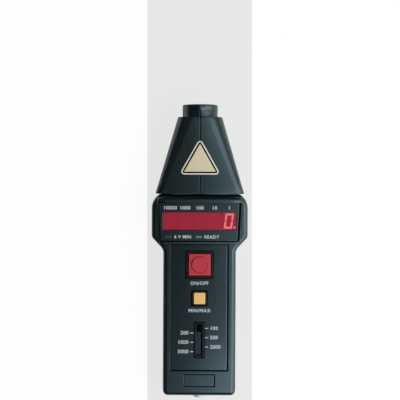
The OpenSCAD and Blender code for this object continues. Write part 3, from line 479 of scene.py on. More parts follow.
def smoothing():
    """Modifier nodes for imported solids: weld the loose triangles, shade them smooth, and keep every edge
    over the sharp angle sharp."""
    tree = bpy.data.node_groups.new("Smooth mouldings", "GeometryNodeTree")
    for way in ("INPUT", "OUTPUT"):
        tree.interface.new_socket("Geometry", in_out=way, socket_type="NodeSocketGeometry")
    new = tree.nodes.new
    start, end, angle = new("NodeGroupInput"), new("NodeGroupOutput"), new("GeometryNodeInputMeshEdgeAngle")
    weld = put(new("GeometryNodeMergeByDistance"), Distance=WELD)
    faces, edges = new("GeometryNodeSetShadeSmooth"), new("GeometryNodeSetShadeSmooth")
    edges.domain = "EDGE"
    put(edges, Shade_Smooth=False)
    sharp = new("FunctionNodeCompare")
    sharp.operation = "GREATER_THAN"
    put(sharp, B=SOLID_SHARP)
    wire(tree, (start, 0, weld, "Geometry"), (weld, "Geometry", faces, "Geometry"),
         (faces, "Geometry", edges, "Geometry"), (angle, "Unsigned Angle", sharp, "A"),
         (sharp, "Result", edges, "Selection"), (edges, "Geometry", end, 0))
    return tree


# Finishes


def finish(name, base, roughness, grain, bump, mottle=0.12, gloss=0.5, metallic=0, scuff=0, crown=0,
           **sockets):
    """Procedural finish on Object coordinates. Slow noise shifts the colour by the mottle, fine noise of the
    given grain, in millimetres, drives the bump and a little of the roughness, and the peaks of a third noise
    are rubbed pale by the scuff. The crown shades flat faces as if they fell by that times X squared."""
    made = bpy.data.materials.get(name)
    if made:
        return made
    made = bpy.data.materials.new(name)
    made.use_nodes = True
    tree = made.node_tree
    new = tree.nodes.new
    shader = put(tree.nodes["Principled BSDF"], Metallic=metallic, Specular_IOR_Level=gloss, **sockets)
    place = new("ShaderNodeTexCoord")
    slow = put(new("ShaderNodeTexNoise"), Scale=MOTTLE_SCALE, Detail=4)
    fine = put(new("ShaderNodeTexNoise"), Scale=1 / MM / grain, Detail=2)
    dark, pale = [c * (1 - mottle) for c in base], [min(c * (1 + mottle), 1) for c in base]
    tint = worn = colour_mix(tree, A=(*dark, 1), B=(*pale, 1))
    low, high = max(roughness - ROUGH_SWING, 0.02), min(roughness + ROUGH_SWING, 1)
    rough = put(new("ShaderNodeMapRange"), To_Min=low, To_Max=high)
    raised = put(new("ShaderNodeBump"), Strength=bump, Distance=GRAIN_HIGH)
    wire(tree, (place, "Object", slow, "Vector"), (place, "Object", fine, "Vector"),
         (slow, "Fac", tint, "Factor"), (fine, "Fac", rough, "Value"), (rough, "Result", shader, "Roughness"),
         (fine, "Fac", raised, "Height"), (raised, "Normal", shader, "Normal"))
    if scuff:
        marks = put(new("ShaderNodeTexNoise"), Scale=SCUFF_SCALE, Detail=5, Distortion=1.5)
        peaks = put(new("ShaderNodeMapRange"), From_Min=SCUFF_PEAKS[0], From_Max=SCUFF_PEAKS[1])
        worn = colour_mix(tree, B=(scuff * 0.8, scuff, scuff, 1))
        wire(tree, (place, "Object", marks, "Vector"), (marks, "Fac", peaks, "Value"),
             (peaks, "Result", worn, "Factor"), (tint, "Result", worn, "A"))
    wire(tree, (worn, "Result", shader, "Base Color"))
    if crown:
        split, square = new("ShaderNodeSeparateXYZ"), new("ShaderNodeMath")
        square.operation = "MULTIPLY"
        fall = put(new("ShaderNodeBump"), Strength=1.0, Distance=crown)
        fall.invert = True
        wire(tree, (place, "Object", split, 0), (split, "X", square, 0), (split, "X", square, 1),
             (square, 0, fall, "Height"), (fall, "Normal", raised, "Normal"))
    return made


def finish_for(look):
    """Finish of a slot of the record or of a look of the scene's own. A row has its name, colour, roughness,
    grain, bump, mottle and gloss, and what else it needs."""
    c = bpy.context.scene.tachometer_colours
    cool = {"Specular_Tint": (0.68, 0.91, 1.0, 1)}
    glow = {"Emission_Color": (1.0, 0.46, 0.44, 1), "Emission_Strength": 1.5}
    rows = {
        "case": ("moulded_case", c.case, 0.30, 0.42, 0.05, 0.12, 0.75, {"scuff": 0.03, "crown": 0.2, **cool}),
        "panel": ("satin_panel", c.panel, 0.25, 0.25, 0.02, 0.12, 0.9,
                  {"scuff": 0.025, "crown": 0.3, **cool}),
        "trim": ("black_trim", c.trim, 0.35, 0.3, 0.06, 0.12, 0.4, cool),
        "frame": ("key_frame", c.trim, 0.42, 0.3, 0.04, 0.12, 0.3, cool),
        "surround": ("display_surround", c.panel, 0.27, 0.25, 0.02, 0.12, 0.75, cool),
        "knob": ("knob_black", c.knob, 0.6, 0.3, 0.05, 0.12, 0.03),
        # Matt black of the sheets in gaps, slots and recess floors, and of the triangle's middle layer:
        # painted shade
        "bed": ("black_bed", c.knob, 0.7, 0.4, 0.05, 0.12, 0.05),
        "red_button": ("red_key", c.red_key, 0.32, 0.3, 0.02, 0.06, 0.4),
        "yellow_button": ("amber_key", c.amber_key, 0.32, 0.3, 0.02, 0.05, 0.4),
        "filter": ("red_filter", c.filter, 0.2, 0.6, 0.0, 0.04, 0.25, {"Alpha": 0.5}),
        "digits": ("digit_face", (0.30, 0.010, 0.030), 0.45, 0.5, 0.05, 0.05),
        "lit": ("lit_bar", (0.9, 0.45, 0.43), 0.5, 0.5, 0.0, 0.03, 0.5, glow),
        "unlit": ("unlit_bar", (0.33, 0.014, 0.036), 0.5, 0.5, 0.0, 0.04),
        "red_lamp": ("unlit_red_lamp", (0.055, 0.044, 0.047), 0.2, 0.4, 0.02, 0.1),
        "clear_lamp": ("unlit_clear_lamp", (0.115, 0.165, 0.175), 0.2, 0.4, 0.02, 0.1),
        "lens": ("nose_lens", (0.78, 0.82, 0.86), 0.06, 1.0, 0.0, 0.02, 0.5,
                 {"Transmission_Weight": 0.9, "IOR": 1.49}),
        "board": ("circuit_board", (0.02, 0.11, 0.045), 0.45, 0.5, 0.1, 0.2),
        "lead": ("flat_lead", (0.32, 0.32, 0.34), 0.5, 0.4, 0.1),
        "battery": ("cell_sleeve", (0.20, 0.21, 0.23), 0.35, 0.6, 0.05),
        "steel": ("plated_steel", (0.50, 0.50, 0.50), 0.42, 0.25, 0.04, 0.06, 0.5, {"metallic": 1.0}),
        "nut": ("satin_nut", (0.66, 0.66, 0.66), 0.6, 0.25, 0.04, 0.06, 0.5, {"metallic": 0.5}),
        "brass": ("turned_brass", (0.68, 0.50, 0.21), 0.3, 0.25, 0.08, 0.08, 0.5, {"metallic": 1.0}),
        "print": ("pale_print", c.ink, 0.5, 0.2, 0.06, 0.06),
        "cream": ("cream_plate", c.cream, 0.4, 0.3, 0.05, 0.06),
        "rim": ("pale_rim", (0.61, 0.575, 0.495), 0.4, 0.3, 0.05, 0.05),
    }
    row = rows[look]
    return finish(*row[:7], **dict(*row[7:]))


# Pieces


def on_display(patch):
    """Patch drawn with X across, Y up the display and Z out of it, put on the leaning face."""
    points, faces = patch
    return points @ DISPLAY_AXES + DISPLAY_FOOT, faces


def display_plan(inset):
    """Outline of the display recess in the display's own plane: it widens towards the brow."""
    low, high = DISPLAY_HALF
    corners = [[low, 0], [high, DISPLAY_LENGTH], [-high, DISPLAY_LENGTH], [-low, 0]]
    return rounded(corners, np.full(4, DISPLAY_ROUND), inset, steps=2)


def surround_plan(inset):
    """Outline of the surround: the recess's own, made a little narrower and set off to the left, which leaves
    a gap along its right and lower sides over the black strip of painted shade."""
    return display_plan(inset) * SURROUND_SCALE + SURROUND_SHIFT


def display_block(crisp):
    """Patches of the display block: a grid of rows up it and columns across it, open over the recess, whose
    walls hang from the opening. A radius that grows towards the brow rounds its sides and ends: the height is
    the root of the radius squared, less the squares of what a point lies past the side and past the end."""
    start, stop, slack = DISPLAY_Y, DISPLAY_END, 1e-4
    foot = BLOCK_Y[0] - BLOCK_ROUND[0] * np.sin(np.linspace(math.pi / 2, 0, 6))
    brow = BLOCK_Y[1] + BLOCK_ROUND[1] * np.sin(np.linspace(0, math.pi / 2, 12))
    edge = crisp * np.array([1, 0.6, 0.3, 0.1, 0])
    between = np.linspace(start, stop, 14)[1:-1]
    row_heights = [foot[:-1], start - edge[1:], between, stop + edge[::-1], brow]
    y = np.unique(np.round(np.concatenate(row_heights), 5))
    radius, half = np.interp(y, BLOCK_Y, BLOCK_ROUND)[:, None], np.interp(y, BLOCK_Y, BLOCK_HALF)[:, None]
    past = np.abs(y - np.clip(y, *BLOCK_Y))[:, None]
    outer = half + np.sqrt(np.maximum(radius**2 - past**2, 0))
    inner = np.minimum(np.interp(y, (start, stop), DISPLAY_HALF)[:, None], outer - BLOCK_RIM)
    rim_share = np.array([0, 0.06, 0.16, 0.3, 0.5, 0.7, 0.85, 0.95, 1.0])
    right = inner + (outer - inner) * rim_share
    x = np.concatenate([-right[:, ::-1], inner * np.linspace(-1, 1, 21)[1:-1], right], 1)
    away = np.maximum(np.abs(x) - inner, np.maximum(start - y, y - stop)[:, None])
    near = np.clip(crisp - away, 0, crisp)
    side = np.maximum(np.abs(x) - half, 0)
    edge_fall = crisp - np.sqrt(crisp**2 - near**2)
    z = BLOCK_Z + np.sqrt(np.maximum(radius**2 - side**2 - past**2, 0)) - edge_fall
    points = np.stack(np.broadcast_arrays(x, y[:, None], z), -1)
    flat, quads = grid(points, wrap=False)
    columns = x.shape[1]
    left, far = len(rim_share) - 1, columns - len(rim_share)
    first, last = np.searchsorted(y, [start - slack, stop - slack])
    corner = np.array(quads)[:, 0]
    row, column = corner // columns, corner % columns
    hole = (row >= first) & (row < last) & (column >= left) & (column < far)
    quads = [quad for quad, gone in zip(quads, hole) if not gone]
    index = np.arange(x.size).reshape(x.shape)
    loop = np.concatenate([
        index[first, left:far], index[first:last, far], index[last, far:left:-1], index[last:first:-1, left]
    ])
    ring, out = flat[loop], DISPLAY_AXES[2]
    floor = ring - ((ring - DISPLAY_FOOT) @ out + DISPLAY_DEPTH)[:, None] * out
    skirt = np.stack([points[-1], points[-1] - [0, 0, BLOCK_SKIRT]])
    return [(flat, quads), grid(np.stack([ring, floor])), grid(skirt, wrap=False)]


def case_front(sizes):
    """Front shell: the wall's profile carried round the case plan, a flat face with three openings, the two
    recesses hung from them and the display block."""
    crisp = sizes.crisp_round / MM
    wall = [(inset, JOINT_Z + up) for inset, up in WALL_FOOT]
    wall += rim(sizes.face_round / MM, FACE_Z, SIDE_LEAN, steps=9)
    tray, badge = around(*TRAY), box_plan(*BADGE)
    low, high = DISPLAY_HALF
    under = np.array([[low, DISPLAY_Y], [high, DISPLAY_END], [-high, DISPLAY_END], [-low, DISPLAY_Y]])
    return [
        swept(case_plan, wall),
        sheet(case_plan(wall[-1][0]), [tray(-crisp - BORDER), badge(-crisp - BORDER), under], FACE_Z),
        swept(tray, drop(crisp, FACE_Z, FLOOR_Z)),
        swept(badge, drop(crisp, FACE_Z, BADGE_Z)),
        *display_block(crisp),
    ]


def half_section(size, seam, depth, tongue, swell):
    """Right-hand half of a rounded rectangle, from the bottom seam round to the top one, whose top bulges so
    that it leans by the swell where the corner starts. The seam's edges are eased, it goes down by its depth,
    and the tongue carries its floor across to the other half."""
    w, d, r = size
    lip_r = 0.15
    start = seam + lip_r + BORDER
    into, below = quarter_turn(lip_r, 3)

    def quarter(bend):
        turn = np.linspace(bend - math.pi / 2, 0, 13)
        arc = np.stack([w - r + r * np.cos(turn), r - d + r * np.sin(turn)], -1)
        arc[:, 0] = np.maximum(arc[:, 0], start)
        reach = arc[0, 0]
        bulge = reach * math.tan(bend) / 2
        top = bulge - arc[0, 1]
        x = np.linspace(start, max(reach - BORDER, start), 8)
        front = np.stack([x, bulge * (x / reach) ** 2 - top], -1)
        lip = np.stack([seam + into, below - top], -1)
        floor = [[-tongue, depth - top], [seam, depth - top]]
        return np.concatenate([floor, lip, front, arc])

    return np.concatenate([quarter(0.0), quarter(swell)[::-1] * [1, -1]])


def nose_half(side, sizes):
    """Half of the nose: half sections of a rounded rectangle that tapers and grows rounder from the base to
    the nose end, then the half collar. The left half mirrors the right one, without the tongue."""
    seam, depth = sizes.seam_width / MM / 2, sizes.seam_depth / MM
    tongue = seam - 0.01 if side > 0 else -seam
    foot, shoulder, front, steps = 0.3, 0.45, 0.35, 4
    collar = np.full(3, COLLAR_ROUND)
    stations = [(NOSE_Y + y, CONE_BASE + more) for y, more in BASE_STEPS]
    stations += [(NOSE_Y + into, CONE_BASE - below) for into, below in zip(*quarter_turn(foot, steps))]
    for share in np.linspace(0, 1, 9)[1:]:
        y = NOSE_Y + (COLLAR_Y - shoulder - NOSE_Y) * share
        stations.append((y, CONE_BASE + (CONE_END - CONE_BASE) * share))
    shoulder_turn = zip(*quarter_turn(shoulder, steps))
    stations += [(COLLAR_Y - below, CONE_END - into) for into, below in shoulder_turn][1:]
    stations += [(COLLAR_Y + y, collar + more) for y, more in COLLAR_STEPS]
    stations += [(RING_Y - below, collar - into) for into, below in zip(*quarter_turn(front, steps))]
    stations += [(RING_Y, collar - 2)]
    rows = []
    for y, size in stations:
        row = half_section(size, seam, depth, tongue, CONE_SWELL if y <= COLLAR_Y else 0.0)
        rows.append(np.column_stack([row[:, 0] * side, np.full(len(row), y), row[:, 1] + NOSE_Z]))
    return [grid(np.stack(rows), wrap=False, flip=side > 0)]


def window_ring():
    """Window ring: its profile of radius and Y turned about the nose's axis, with an eased foot, a rounded
    front and a chamfered mouth."""
    end = RING[1, 1]
    into, below = quarter_turn(RING_ROUND, 7)
    profile = [(r, RING_Y + up) for r, up in RING_FOOT]
    profile += zip(COLLAR_ROUND - into, end - below)
    profile += [(r, end - down) for r, down in RING_MOUTH]
    angle = np.linspace(0, 2 * math.pi, 96, endpoint=False)
    r, y = np.array(profile).T[..., None]
    points = np.broadcast_arrays(r * np.cos(angle), y, NOSE_Z + r * np.sin(angle))
    return [grid(np.stack(points, -1), flip=True)]


def ring_slot_painted_shade():
    """Black strip across the top of the ring, painted as the shade of a short slot: a narrow strip bent to
    its radius, just proud of it.
    """
    half, sunk, proud, forward = 0.32, -0.2, 0.02, 0.9
    x = np.linspace(0.6, 5.0, 9)
    y = RING[:, 1].mean() + forward + np.array([-half, -half, half, half])
    out = np.array([sunk, proud, proud, sunk])
    z = NOSE_Z + np.sqrt((COLLAR_ROUND + out[:, None]) ** 2 - x**2)
    return [grid(np.stack(np.broadcast_arrays(x, y[:, None], z), -1), wrap=False)]


def on_cone(patch):
    """Patch drawn flat, laid on the leaning and swelling front of the nose."""
    points, faces = patch
    share = (points[:, 1:2] - NOSE_Y) / (COLLAR_Y - NOSE_Y)
    w, d, r = (CONE_BASE + (CONE_END - CONE_BASE) * share).T
    reach = w - r + r * math.sin(CONE_SWELL)
    bulge = reach * math.tan(CONE_SWELL) / 2 * (1 - (points[:, 0] / reach) ** 2)
    rise = NOSE_Z + d - r + r * math.cos(CONE_SWELL) + bulge
    return np.column_stack([points[:, :2], points[:, 2] + rise]), faces


def bezel(part, width, length, bottom):
    """Frame round a key: its profile goes up the outer wall, over two eased edges and down the inner wall. A
    narrow gap is left between the frame and the panel."""
    ease = 0.2
    outer, inner = around(part, -BEZEL_GAP, 0.8), box_plan(part[:, :2].mean(0), width, length, 0.6)
    up = [level(outer(i), z) for i, z in [(0, FLOOR_Z), *rim(ease, BEZEL_Z, 0.0, steps=3)]]
    down = [level(inner(i), z) for i, z in drop(ease, BEZEL_Z, bottom)]
    return [grid(np.stack(up + down))]


def key_cap(part, width, length, lean, rise, round_off, disc=None):
    """Key: skirt, leaning sides, an eased top edge, and either a raised disc with a groove round it or a
    shallow hollow."""
    centre, top = part[:, :2].mean(0), BEZEL_Z + rise
    plan = box_plan(centre, width, length, 0.8)
    profile = [(0.0, part[0, 2]), (0.0, BEZEL_Z), *rim(round_off, top, lean, steps=5)]
    edge = profile[-1][0]
    if not disc:
        slope = 0.02
        profile += [(edge + i, top - slope * i) for i in (0.8, 1.8, 2.8)]
        return [swept(plan, profile), lid(level(plan(profile[-1][0]), profile[-1][1]))]
    groove, deep, lift, ease, fall = 0.65, 0.8, 0.9, 0.25, 0.1
    angle = np.linspace(-0.25 * math.pi, 1.75 * math.pi, 64, endpoint=False)
    ray = np.stack([np.cos(angle), np.sin(angle)], -1)

    def ring(inset):
        return ray * (disc - inset) + centre

    step = [(-groove - BORDER, top), (-groove, top), (-groove + 0.1, top - deep), (-0.05, top - deep)]
    step += rim(ease, top + lift, 0.0, steps=4)
    step += [(disc * share, top + lift - fall * share) for share in (0.25, 0.5, 0.75, 0.95)]
    flat = sheet(plan(edge), [ring(-groove - BORDER)], top)
    return [swept(plan, profile), flat, swept(ring, step), lid(level(ring(step[-1][0]), step[-1][1]))]


def knob_piece():
    """Selector knob: rows up its sides and across its top, which rises and falls in three ribs and is eased
    at its edges, on a short stem."""
    ribs, dip, ease, deep = 3, 0.34, 0.35, 9
    centre = KNOB[:, :2].mean(0)
    width, length = np.ptp(KNOB[:, :2], 0)
    floor, top = FLOOR_Z + 0.15, KNOB[1, 2]
    y = np.linspace(-0.5, 0.5, 61) * length
    wave = 0.5 + 0.5 * np.cos(2 * math.pi * ribs * y / length)
    ends = np.clip((length / 2 - np.abs(y)) / ease, 0, 1)
    crest = top - dip * (1 - np.clip(wave * 1.8 - 0.4, 0, 1)) - ease * (1 - np.sqrt(1 - (1 - ends) ** 2))
    x = width / 2
    across = np.array([-x, -x, -x + 0.1, -x + 0.3, 0, x - 0.3, x - 0.1, x, x])
    down = np.array([deep, ease, 0.12, 0, 0, 0, 0.12, ease, deep])
    z = np.maximum(crest[:, None] - down, floor)
    points = np.stack(np.broadcast_arrays(across + centre[0], y[:, None] + centre[1], z), -1)
    stem = box_plan(centre, 1.8, 3.0, 0.1)
    return [grid(points, wrap=False), lid(points[0]), lid(points[-1], flip=True),
            swept(stem, [(0, KNOB[0, 2]), (0, floor + 0.2)]), lid(level(stem(0), KNOB[0, 2]), flip=True)]


def segments(lit, across):
    """Bars of one digit as thin prisms: they meet in mitred corners and come to a point at the middle,
    slanted by a share of their height. The mask says which of the seven are wanted."""
    half, tall, thick, gap, slant = 2.75, 5.65, 0.78, 0.12, 0.13
    near, far = half - thick - gap, half + thick - gap
    low, high = tall - thick, tall + thick
    cap = np.array([[near, low], [far, high], [-far, high], [-near, low]])
    post = np.array([[half, gap], [half + thick, thick + gap], [half + thick, high - gap],
                     [half - thick, low - gap], [half - thick, thick + gap]])
    middle = np.array([[near, -thick], [half - gap, 0], [near, thick],
                       [-near, thick], [gap - half, 0], [-near, -thick]])
    shapes = [cap, post, post[::-1] * [1, -1], -cap, -post, post[::-1] * [-1, 1], middle]
    wanted = [shape @ [[1, 0], [slant, 1]] + [across, FILTER_UP] for shape, on in zip(shapes, lit) if on]
    return [patch for outline in wanted for patch in prism(outline, DIGIT_W, SEGMENT_HIGH)]


# Operators


class TACHOMETER_OT_case(bpy.types.Operator):
    """Front shell with its recesses and display block"""

    bl_idname = "tachometer.case"
    bl_label = "Build the case"

    def execute(self, context):
        sizes = context.scene.tachometer_sizes
        make("case_front", case_front(sizes), "case", "case", ["front_shell"])
        # Black floor of the recess: painted shade in the gaps round the blank
        make("badge_painted_shade", [lid(level(box_plan(*BADGE)(0), BADGE_Z))], "case", "bed")
        make("badge_blank", tile(box_plan(*BLANK), BLANK_Z, BADGE_Z, PLATE_EDGE), "case", "case")
        return {"FINISHED"}


class TACHOMETER_OT_nose(bpy.types.Operator):
    """Two halves of the nose, the window ring with a black strip painted as its slot's shade, and the bare
    plate
    """

    bl_idname = "tachometer.nose"
    bl_label = "Build the nose"

    def execute(self, context):
        sizes = context.scene.tachometer_sizes
        for side, hand in ((-1, "left"), (1, "right")):
            make("nose_half_" + hand, nose_half(side, sizes), "case", "case", ["nose_" + hand])
        make("window_ring_turned", window_ring(), "case", "case", ["window_ring"])
        # Black strip on the ring: painted shade of a slot
        make("ring_slot_painted_shade", ring_slot_painted_shade(), "case", "bed")
        bottom, ease = 0.02, 0.08
        radii = np.full(3, TRIANGLE_ROUND)
        for part, inset, top in TRIANGLE_LAYERS:
            plate = tile(lambda i, d=inset: rounded(TRIANGLE, radii, i + d, steps=8), top, bottom, ease)
            make("nose_plate_" + part, [on_cone(p) for p in plate], "case", part)
        return {"FINISHED"}


class TACHOMETER_OT_display(bpy.types.Operator):
    """Surround, red filter, digits, lamps and printed marks of the display"""

    bl_idname = "tachometer.display"
    bl_label = "Build the display"

    def execute(self, context):
        window = box_plan((0, FILTER_UP), *FILTER_SIZE)
        lamps = [box_plan((x, LAMP_UP), *LAMP_SIZE) for x in LAMP_ACROSS]
        holes = [window, *lamps]
        # Black strip on the display's floor: painted shade in the gaps round the surround
        bed = swept(display_plan, [(0, -DISPLAY_DEPTH), (PAINTED_SHADE_STRIP, -DISPLAY_DEPTH)])
        self.piece("display_painted_shade", [bed], "bed", "trim")
        side, gap, ease = 0.7, 0.2, 0.1
        outer = [(side, -DISPLAY_DEPTH), *rim(THIN_EDGE, SURROUND_W, side, steps=2)]
        hole_walls = drop(ease, SURROUND_W, -DISPLAY_DEPTH, 2)
        surround = [
            swept(surround_plan, outer),
            sheet(surround_plan(outer[-1][0]), [hole(-gap - ease - BORDER) for hole in holes], SURROUND_W),
            *[swept(lambda i, h=hole: h(i - gap), hole_walls) for hole in holes],
        ]
        self.piece("display_frame", surround, "surround", "surround", ["display_surround"])
        pane = slab(window, SURROUND_W, SURROUND_W - FILTER_DEPTH, PLATE_EDGE)
        self.piece("red_window", pane, "filter", "filter", ["display_filter"])
        names = (("lamp_left", "red_lamp", "low_battery_lamp"), ("lamp_right", "clear_lamp", "target_lamp"))
        for plan, (name, slot, node) in zip(lamps, names):
            self.piece(name, slab(plan, LAMP_TOP, LAMP_FOOT, LAMP_EDGE), slot, slot, [node])
        self.digits()
        self.marks(context.scene.tachometer_sizes.numeral_height / MM)
        return {"FINISHED"}

    def piece(self, name, patches, look, slot, stands_for=()):
        """Piece of the case that is drawn in the display's own plane."""
        make(name, [on_display(p) for p in patches], "case", look, stands_for)

    def digits(self):
        """Lit bars and point of the last digit, the dark bars of the others, and the joints between them."""
        point, joint, joint_high = 1.7, 0.5, 0.12
        lit = segments([1, 1, 1, 1, 1, 1, 0], DIGIT_LAST)
        lit += bar((DIGIT_LAST + 4.7, FILTER_UP - 5.5), point, point, DIGIT_W, SEGMENT_HIGH, 0.7)
        self.piece("digit_lit", lit, "lit", "digits")
        dark = segments([0, 0, 0, 0, 0, 0, 1], DIGIT_LAST)
        for place in range(-2, 2):
            dark += segments([1] * 7, place * DIGIT_PITCH)
        self.piece("digit_unlit", dark, "unlit", "digits")
        joints = []
        for place in (-1.5, -0.5, 0.5, 1.5):
            joints += bar((place * DIGIT_PITCH, FILTER_UP), joint, FILTER_SIZE[1], DIGIT_W, joint_high)
        self.piece("digit_joints", joints, "trim", "digits")

    def marks(self, size):
        """Place values over the digits, and a short word beside each lamp."""
        value_size, word_size, word_gap = size * 1.4, size * 1.25, 4.3
        marks = []
        for place, words in zip(range(-2, 3), ("10000", "1000", "100", "10", "1")):
            marks.append(lettering(words, value_size, (place * DIGIT_PITCH, VALUES_UP), SURROUND_W))
        for words, x in zip(("6 V MIN", "READY"), LAMP_ACROSS):
            marks.append(lettering(words, word_size, (x + word_gap, LAMP_UP), SURROUND_W, "LEFT"))
        self.piece("display_marks", marks, "print", "surround")


class TACHOMETER_OT_controls(bpy.types.Operator):
    """Control panel, bezels, keys, selector and printed marks"""

    bl_idname = "tachometer.controls"
    bl_label = "Build the controls"

    def execute(self, context):
        sizes = context.scene.tachometer_sizes
        plate = around(PLATE, 0, 0.5)
        holes = [around(part, PLAY, 1) for part in (MEASURE, RECALL, SELECTOR)]
        wells = [box_plan(*well) for well in WELLS]
        # Black sheet with black wells under the openings: painted shade in the gaps round the plate and the
        # bezels
        bed = [sheet(around(*TRAY)(0), [well(0) for well in wells], FLOOR_Z)]
        bed += [swept(well, [(0, FLOOR_Z), (0, FLOOR_Z - WELL_DEPTH)]) for well in wells]
        make("panel_painted_shade", bed, "case", "bed")
        edge = [(0, FLOOR_Z), *rim(THIN_EDGE, PANEL_Z, 0.0, steps=2)]
        panel = [
            swept(plate, edge),
            sheet(plate(edge[-1][0]), [hole(0) for hole in holes], PANEL_Z),
            *[swept(hole, [(0, PANEL_Z), (0, FLOOR_Z)]) for hole in holes],
        ]
        make("panel_plate", panel, "case", "panel", ["control_panel"])
        frames = (
            ("measure_frame", MEASURE, 20.2, 20.2, MEASURE[0, 2], "measure_bezel"),
            ("recall_frame", RECALL, 10.8, 11.2, RECALL[0, 2], "recall_bezel"),
            ("selector_frame", SELECTOR, 5.4, 26.75, FLOOR_Z, "selector_bezel"),
        )
        for name, part, width, length, bottom, node in frames:
            make(name, bezel(part, width, length, bottom), "case", "frame", [node])
        ease = sizes.key_round / MM
        red = key_cap(MEASURE_KEY, width=18.9, length=18.9, lean=0.35, rise=1.7, round_off=ease, disc=6.5)
        make("measure_cap", red, "measure_key", "red_button", ["measure_button"])
        amber = key_cap(RECALL_KEY, width=9.9, length=10.1, lean=0.25, rise=1.2, round_off=ease)
        make("recall_cap", amber, "recall_key", "yellow_button", ["recall_button"])
        make("selector_grip", knob_piece(), "selector", "knob", ["selector_knob"])
        strip = slab(box_plan(*SHUTTER), *SHUTTER_Z, 0.05)
        make("selector_shutter", strip, "selector", "trim")
        self.marks(sizes.numeral_height / MM)
        return {"FINISHED"}

    def marks(self, size):
        """Ticks and range numbers beside the selector, and a short word under each key."""
        tick, tick_x, range_x, word_down = (2.8, 0.5), 6.2, 9.0, 4.0
        marks = []
        for place, words in enumerate(("100", "200", "500", "1000", "2000", "5000")):
            side, align = (-1, "RIGHT") if place % 2 else (1, "LEFT")
            y = KNOB_Y - TICK_PITCH * place
            marks += bar((side * tick_x, y), *tick, PANEL_Z)
            marks.append(lettering(words, size * 1.4, (side * range_x, y), PANEL_Z, align))
        for words, scale, part in (("ON/OFF", 1.3, MEASURE), ("MIN/MAX", 1.35, RECALL)):
            marks.append(lettering(words, size * scale, (0, part[0, 1] - word_down), PANEL_Z))
        make("panel_marks", marks, "case", "print")


class TACHOMETER_OT_solids(bpy.types.Operator):
    """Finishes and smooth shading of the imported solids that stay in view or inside"""

    bl_idname = "tachometer.solids"
    bl_label = "Finish the packed solids"

    def execute(self, context):
        tree = smoothing()
        for name, node in frame["nodes"].items():
            node.data.materials.clear()
            node.data.materials.append(finish_for("nut" if name == "jack_nut" else SLOT_OF[name]))
            node.modifiers.new("Smooth mouldings", "NODES").node_group = tree
        return {"FINISHED"}


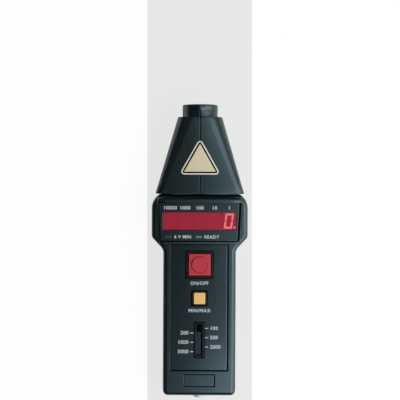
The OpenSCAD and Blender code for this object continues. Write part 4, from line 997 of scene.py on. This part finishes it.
class TACHOMETER_OT_stage(bpy.types.Operator):
    """Pale floor, soft light and the camera over the face"""

    bl_idname = "tachometer.stage"
    bl_label = "Set the stage"

    def execute(self, context):
        scene = context.scene
        stage = scene.tachometer_stage
        self.floor(stage.roll)
        middle, white = (0, 0.02, 0.02), (1, 1, 1)
        cool, green, plain = (0.78, 0.96, 1.0), (0.82, 1.0, 0.97), (1.0, 0.98, 0.95)
        lights = (
            ("key_light", stage.key_power, (1.6, 1.6), (0.90, -0.20, 0.80), middle, white),
            ("fill_light", stage.fill_power, (0.9, 0.9), (-0.8, 0.5, 0.9), middle, white),
            ("grip_light", 0.42 * stage.gloss, (0.40, 0.05), (0.11, -0.125, 0.38), (0, -0.125, 0.04), cool),
            ("tail_light", 0.16 * stage.gloss, (0.12, 0.10), (0.07, -0.195, 0.38), (0, -0.195, 0.04), cool),
            ("nose_light", 0.22 * stage.gloss, (0.40, 0.40), (0.40, 0.20, 0.52), (0, 0.1, 0.03), plain),
            ("cone_light", 0.11 * stage.gloss, (0.12, 0.06), (0.070, 0.165, 0.38), (0, 0.13, 0.03), green),
        )
        for light in lights:
            self.lamp(*light)
        scene.world = bpy.data.worlds.new("soft_room")
        scene.world.use_nodes = True
        put(scene.world.node_tree.nodes["Background"], Color=(0.95, 0.98, 1.0, 1), Strength=stage.sky)
        sensor, face_height = 36, 0.03
        lens = bpy.data.cameras.new("camera")
        lens.sensor_width = sensor
        lens.lens = sensor * (stage.camera_height - face_height) / stage.frame_width
        lens.clip_end = 10
        scene.camera = linked("camera", lens)
        scene.camera.location = (0.00015, 0.0431, stage.camera_height)
        scene.camera.rotation_euler = (0, 0, stage.roll)
        scene.view_settings.view_transform = "Standard"
        return {"FINISHED"}

    def floor(self, roll):
        """Wide flat floor. Seen by the camera, or in gloss or glass, it is mostly its own pale colour, with a
        greyer strip under the object, turned by the roll, and the rest of it takes the object's shadow."""
        half, below, strip, blur, gloss_share, own_share = 9, 0.0004, 0.0450, 0.0006, 0.2, 0.95
        mesh = bpy.data.meshes.new("floor")
        corners = np.array([[-1, -1, 0], [1, -1, 0], [1, 1, 0], [-1, 1, 0]]) * half - [0, 0, below]
        mesh.from_pydata(corners.tolist(), [], [(0, 1, 2, 3)])
        made = bpy.data.materials.new("pale_floor")
        made.use_nodes = True
        tree = made.node_tree
        tree.nodes.clear()
        place, split, rays, step, matt, pale, mix, out = (tree.nodes.new("ShaderNode" + kind) for kind in (
            "TexCoord", "SeparateXYZ", "LightPath", "MapRange", "BsdfDiffuse", "Emission", "MixShader",
            "OutputMaterial"))
        across, width, gloss, either, any_ray, share = (tree.nodes.new("ShaderNodeMath") for _ in range(6))
        across.operation, width.operation = "MULTIPLY_ADD", "ABSOLUTE"
        gloss.operation = share.operation = "MULTIPLY"
        either.operation = any_ray.operation = "MAXIMUM"
        for node, value in ((across, roll), (gloss, gloss_share), (share, own_share)):
            node.inputs[1].default_value = value
        put(step, From_Min=strip, From_Max=strip + blur)
        tone = colour_mix(tree, A=(0.80, 0.81, 0.80, 1), B=(1.0, 1.0, 1.0, 1))
        wire(tree, (place, "Object", split, 0), (split, "Y", across, 0), (split, "X", across, 2),
             (across, 0, width, 0), (width, 0, step, "Value"), (step, "Result", tone, "Factor"),
             (tone, "Result", matt, "Color"), (tone, "Result", pale, "Color"),
             (rays, "Is Camera Ray", either, 0), (rays, "Is Glossy Ray", gloss, 0), (gloss, 0, either, 1),
             (either, 0, any_ray, 0), (rays, "Is Transmission Ray", any_ray, 1), (any_ray, 0, share, 0),
             (share, 0, mix, "Fac"), (matt, 0, mix, 1), (pale, 0, mix, 2), (mix, 0, out, "Surface"))
        mesh.materials.append(made)
        piece = linked("floor", mesh)

    def lamp(self, name, power, size, place, target, tint):
        """Oblong area light that faces the target."""
        light = bpy.data.lights.new(name, "AREA")
        light.shape, light.energy, light.color = "RECTANGLE", power, tint
        light.size, light.size_y = size
        piece = linked(name, light)
        piece.location = place
        piece.rotation_euler = (Vector(target) - Vector(place)).to_track_quat("-Z", "Y").to_euler()


class TACHOMETER_PT_panel(bpy.types.Panel):
    """Sizes, colours, light and the steps of the build"""

    bl_label = "Laser tachometer"
    bl_idname = "TACHOMETER_PT_panel"
    bl_space_type = "VIEW_3D"
    bl_region_type = "UI"
    bl_category = "Tachometer"

    def draw(self, context):
        for group in (getattr(context.scene, name) for name in GROUPS):
            column = self.layout.column()
            for name in group.__annotations__:
                column.prop(group, name)
        for step in STEPS:
            self.layout.operator(step.bl_idname)


GROUPS = {
    "tachometer_sizes": TachometerSizes,
    "tachometer_colours": TachometerColours,
    "tachometer_stage": TachometerStage,
}
STEPS = (TACHOMETER_OT_case, TACHOMETER_OT_nose, TACHOMETER_OT_display, TACHOMETER_OT_controls,
         TACHOMETER_OT_solids, TACHOMETER_OT_stage)


def register():
    for kind in (*GROUPS.values(), *STEPS, TACHOMETER_PT_panel):
        bpy.utils.register_class(kind)
    for name, kind in GROUPS.items():
        setattr(bpy.types.Scene, name, PointerProperty(type=kind))


def unregister():
    for name in GROUPS:
        delattr(bpy.types.Scene, name)
    for kind in (TACHOMETER_PT_panel, *STEPS, *GROUPS.values()):
        bpy.utils.unregister_class(kind)


def main():
    register()
    bpy.ops.tachometer.case()
    bpy.ops.tachometer.nose()
    bpy.ops.tachometer.display()
    bpy.ops.tachometer.controls()
    bpy.ops.tachometer.solids()
    bpy.ops.tachometer.stage()


if __name__ == "__main__":
    main()
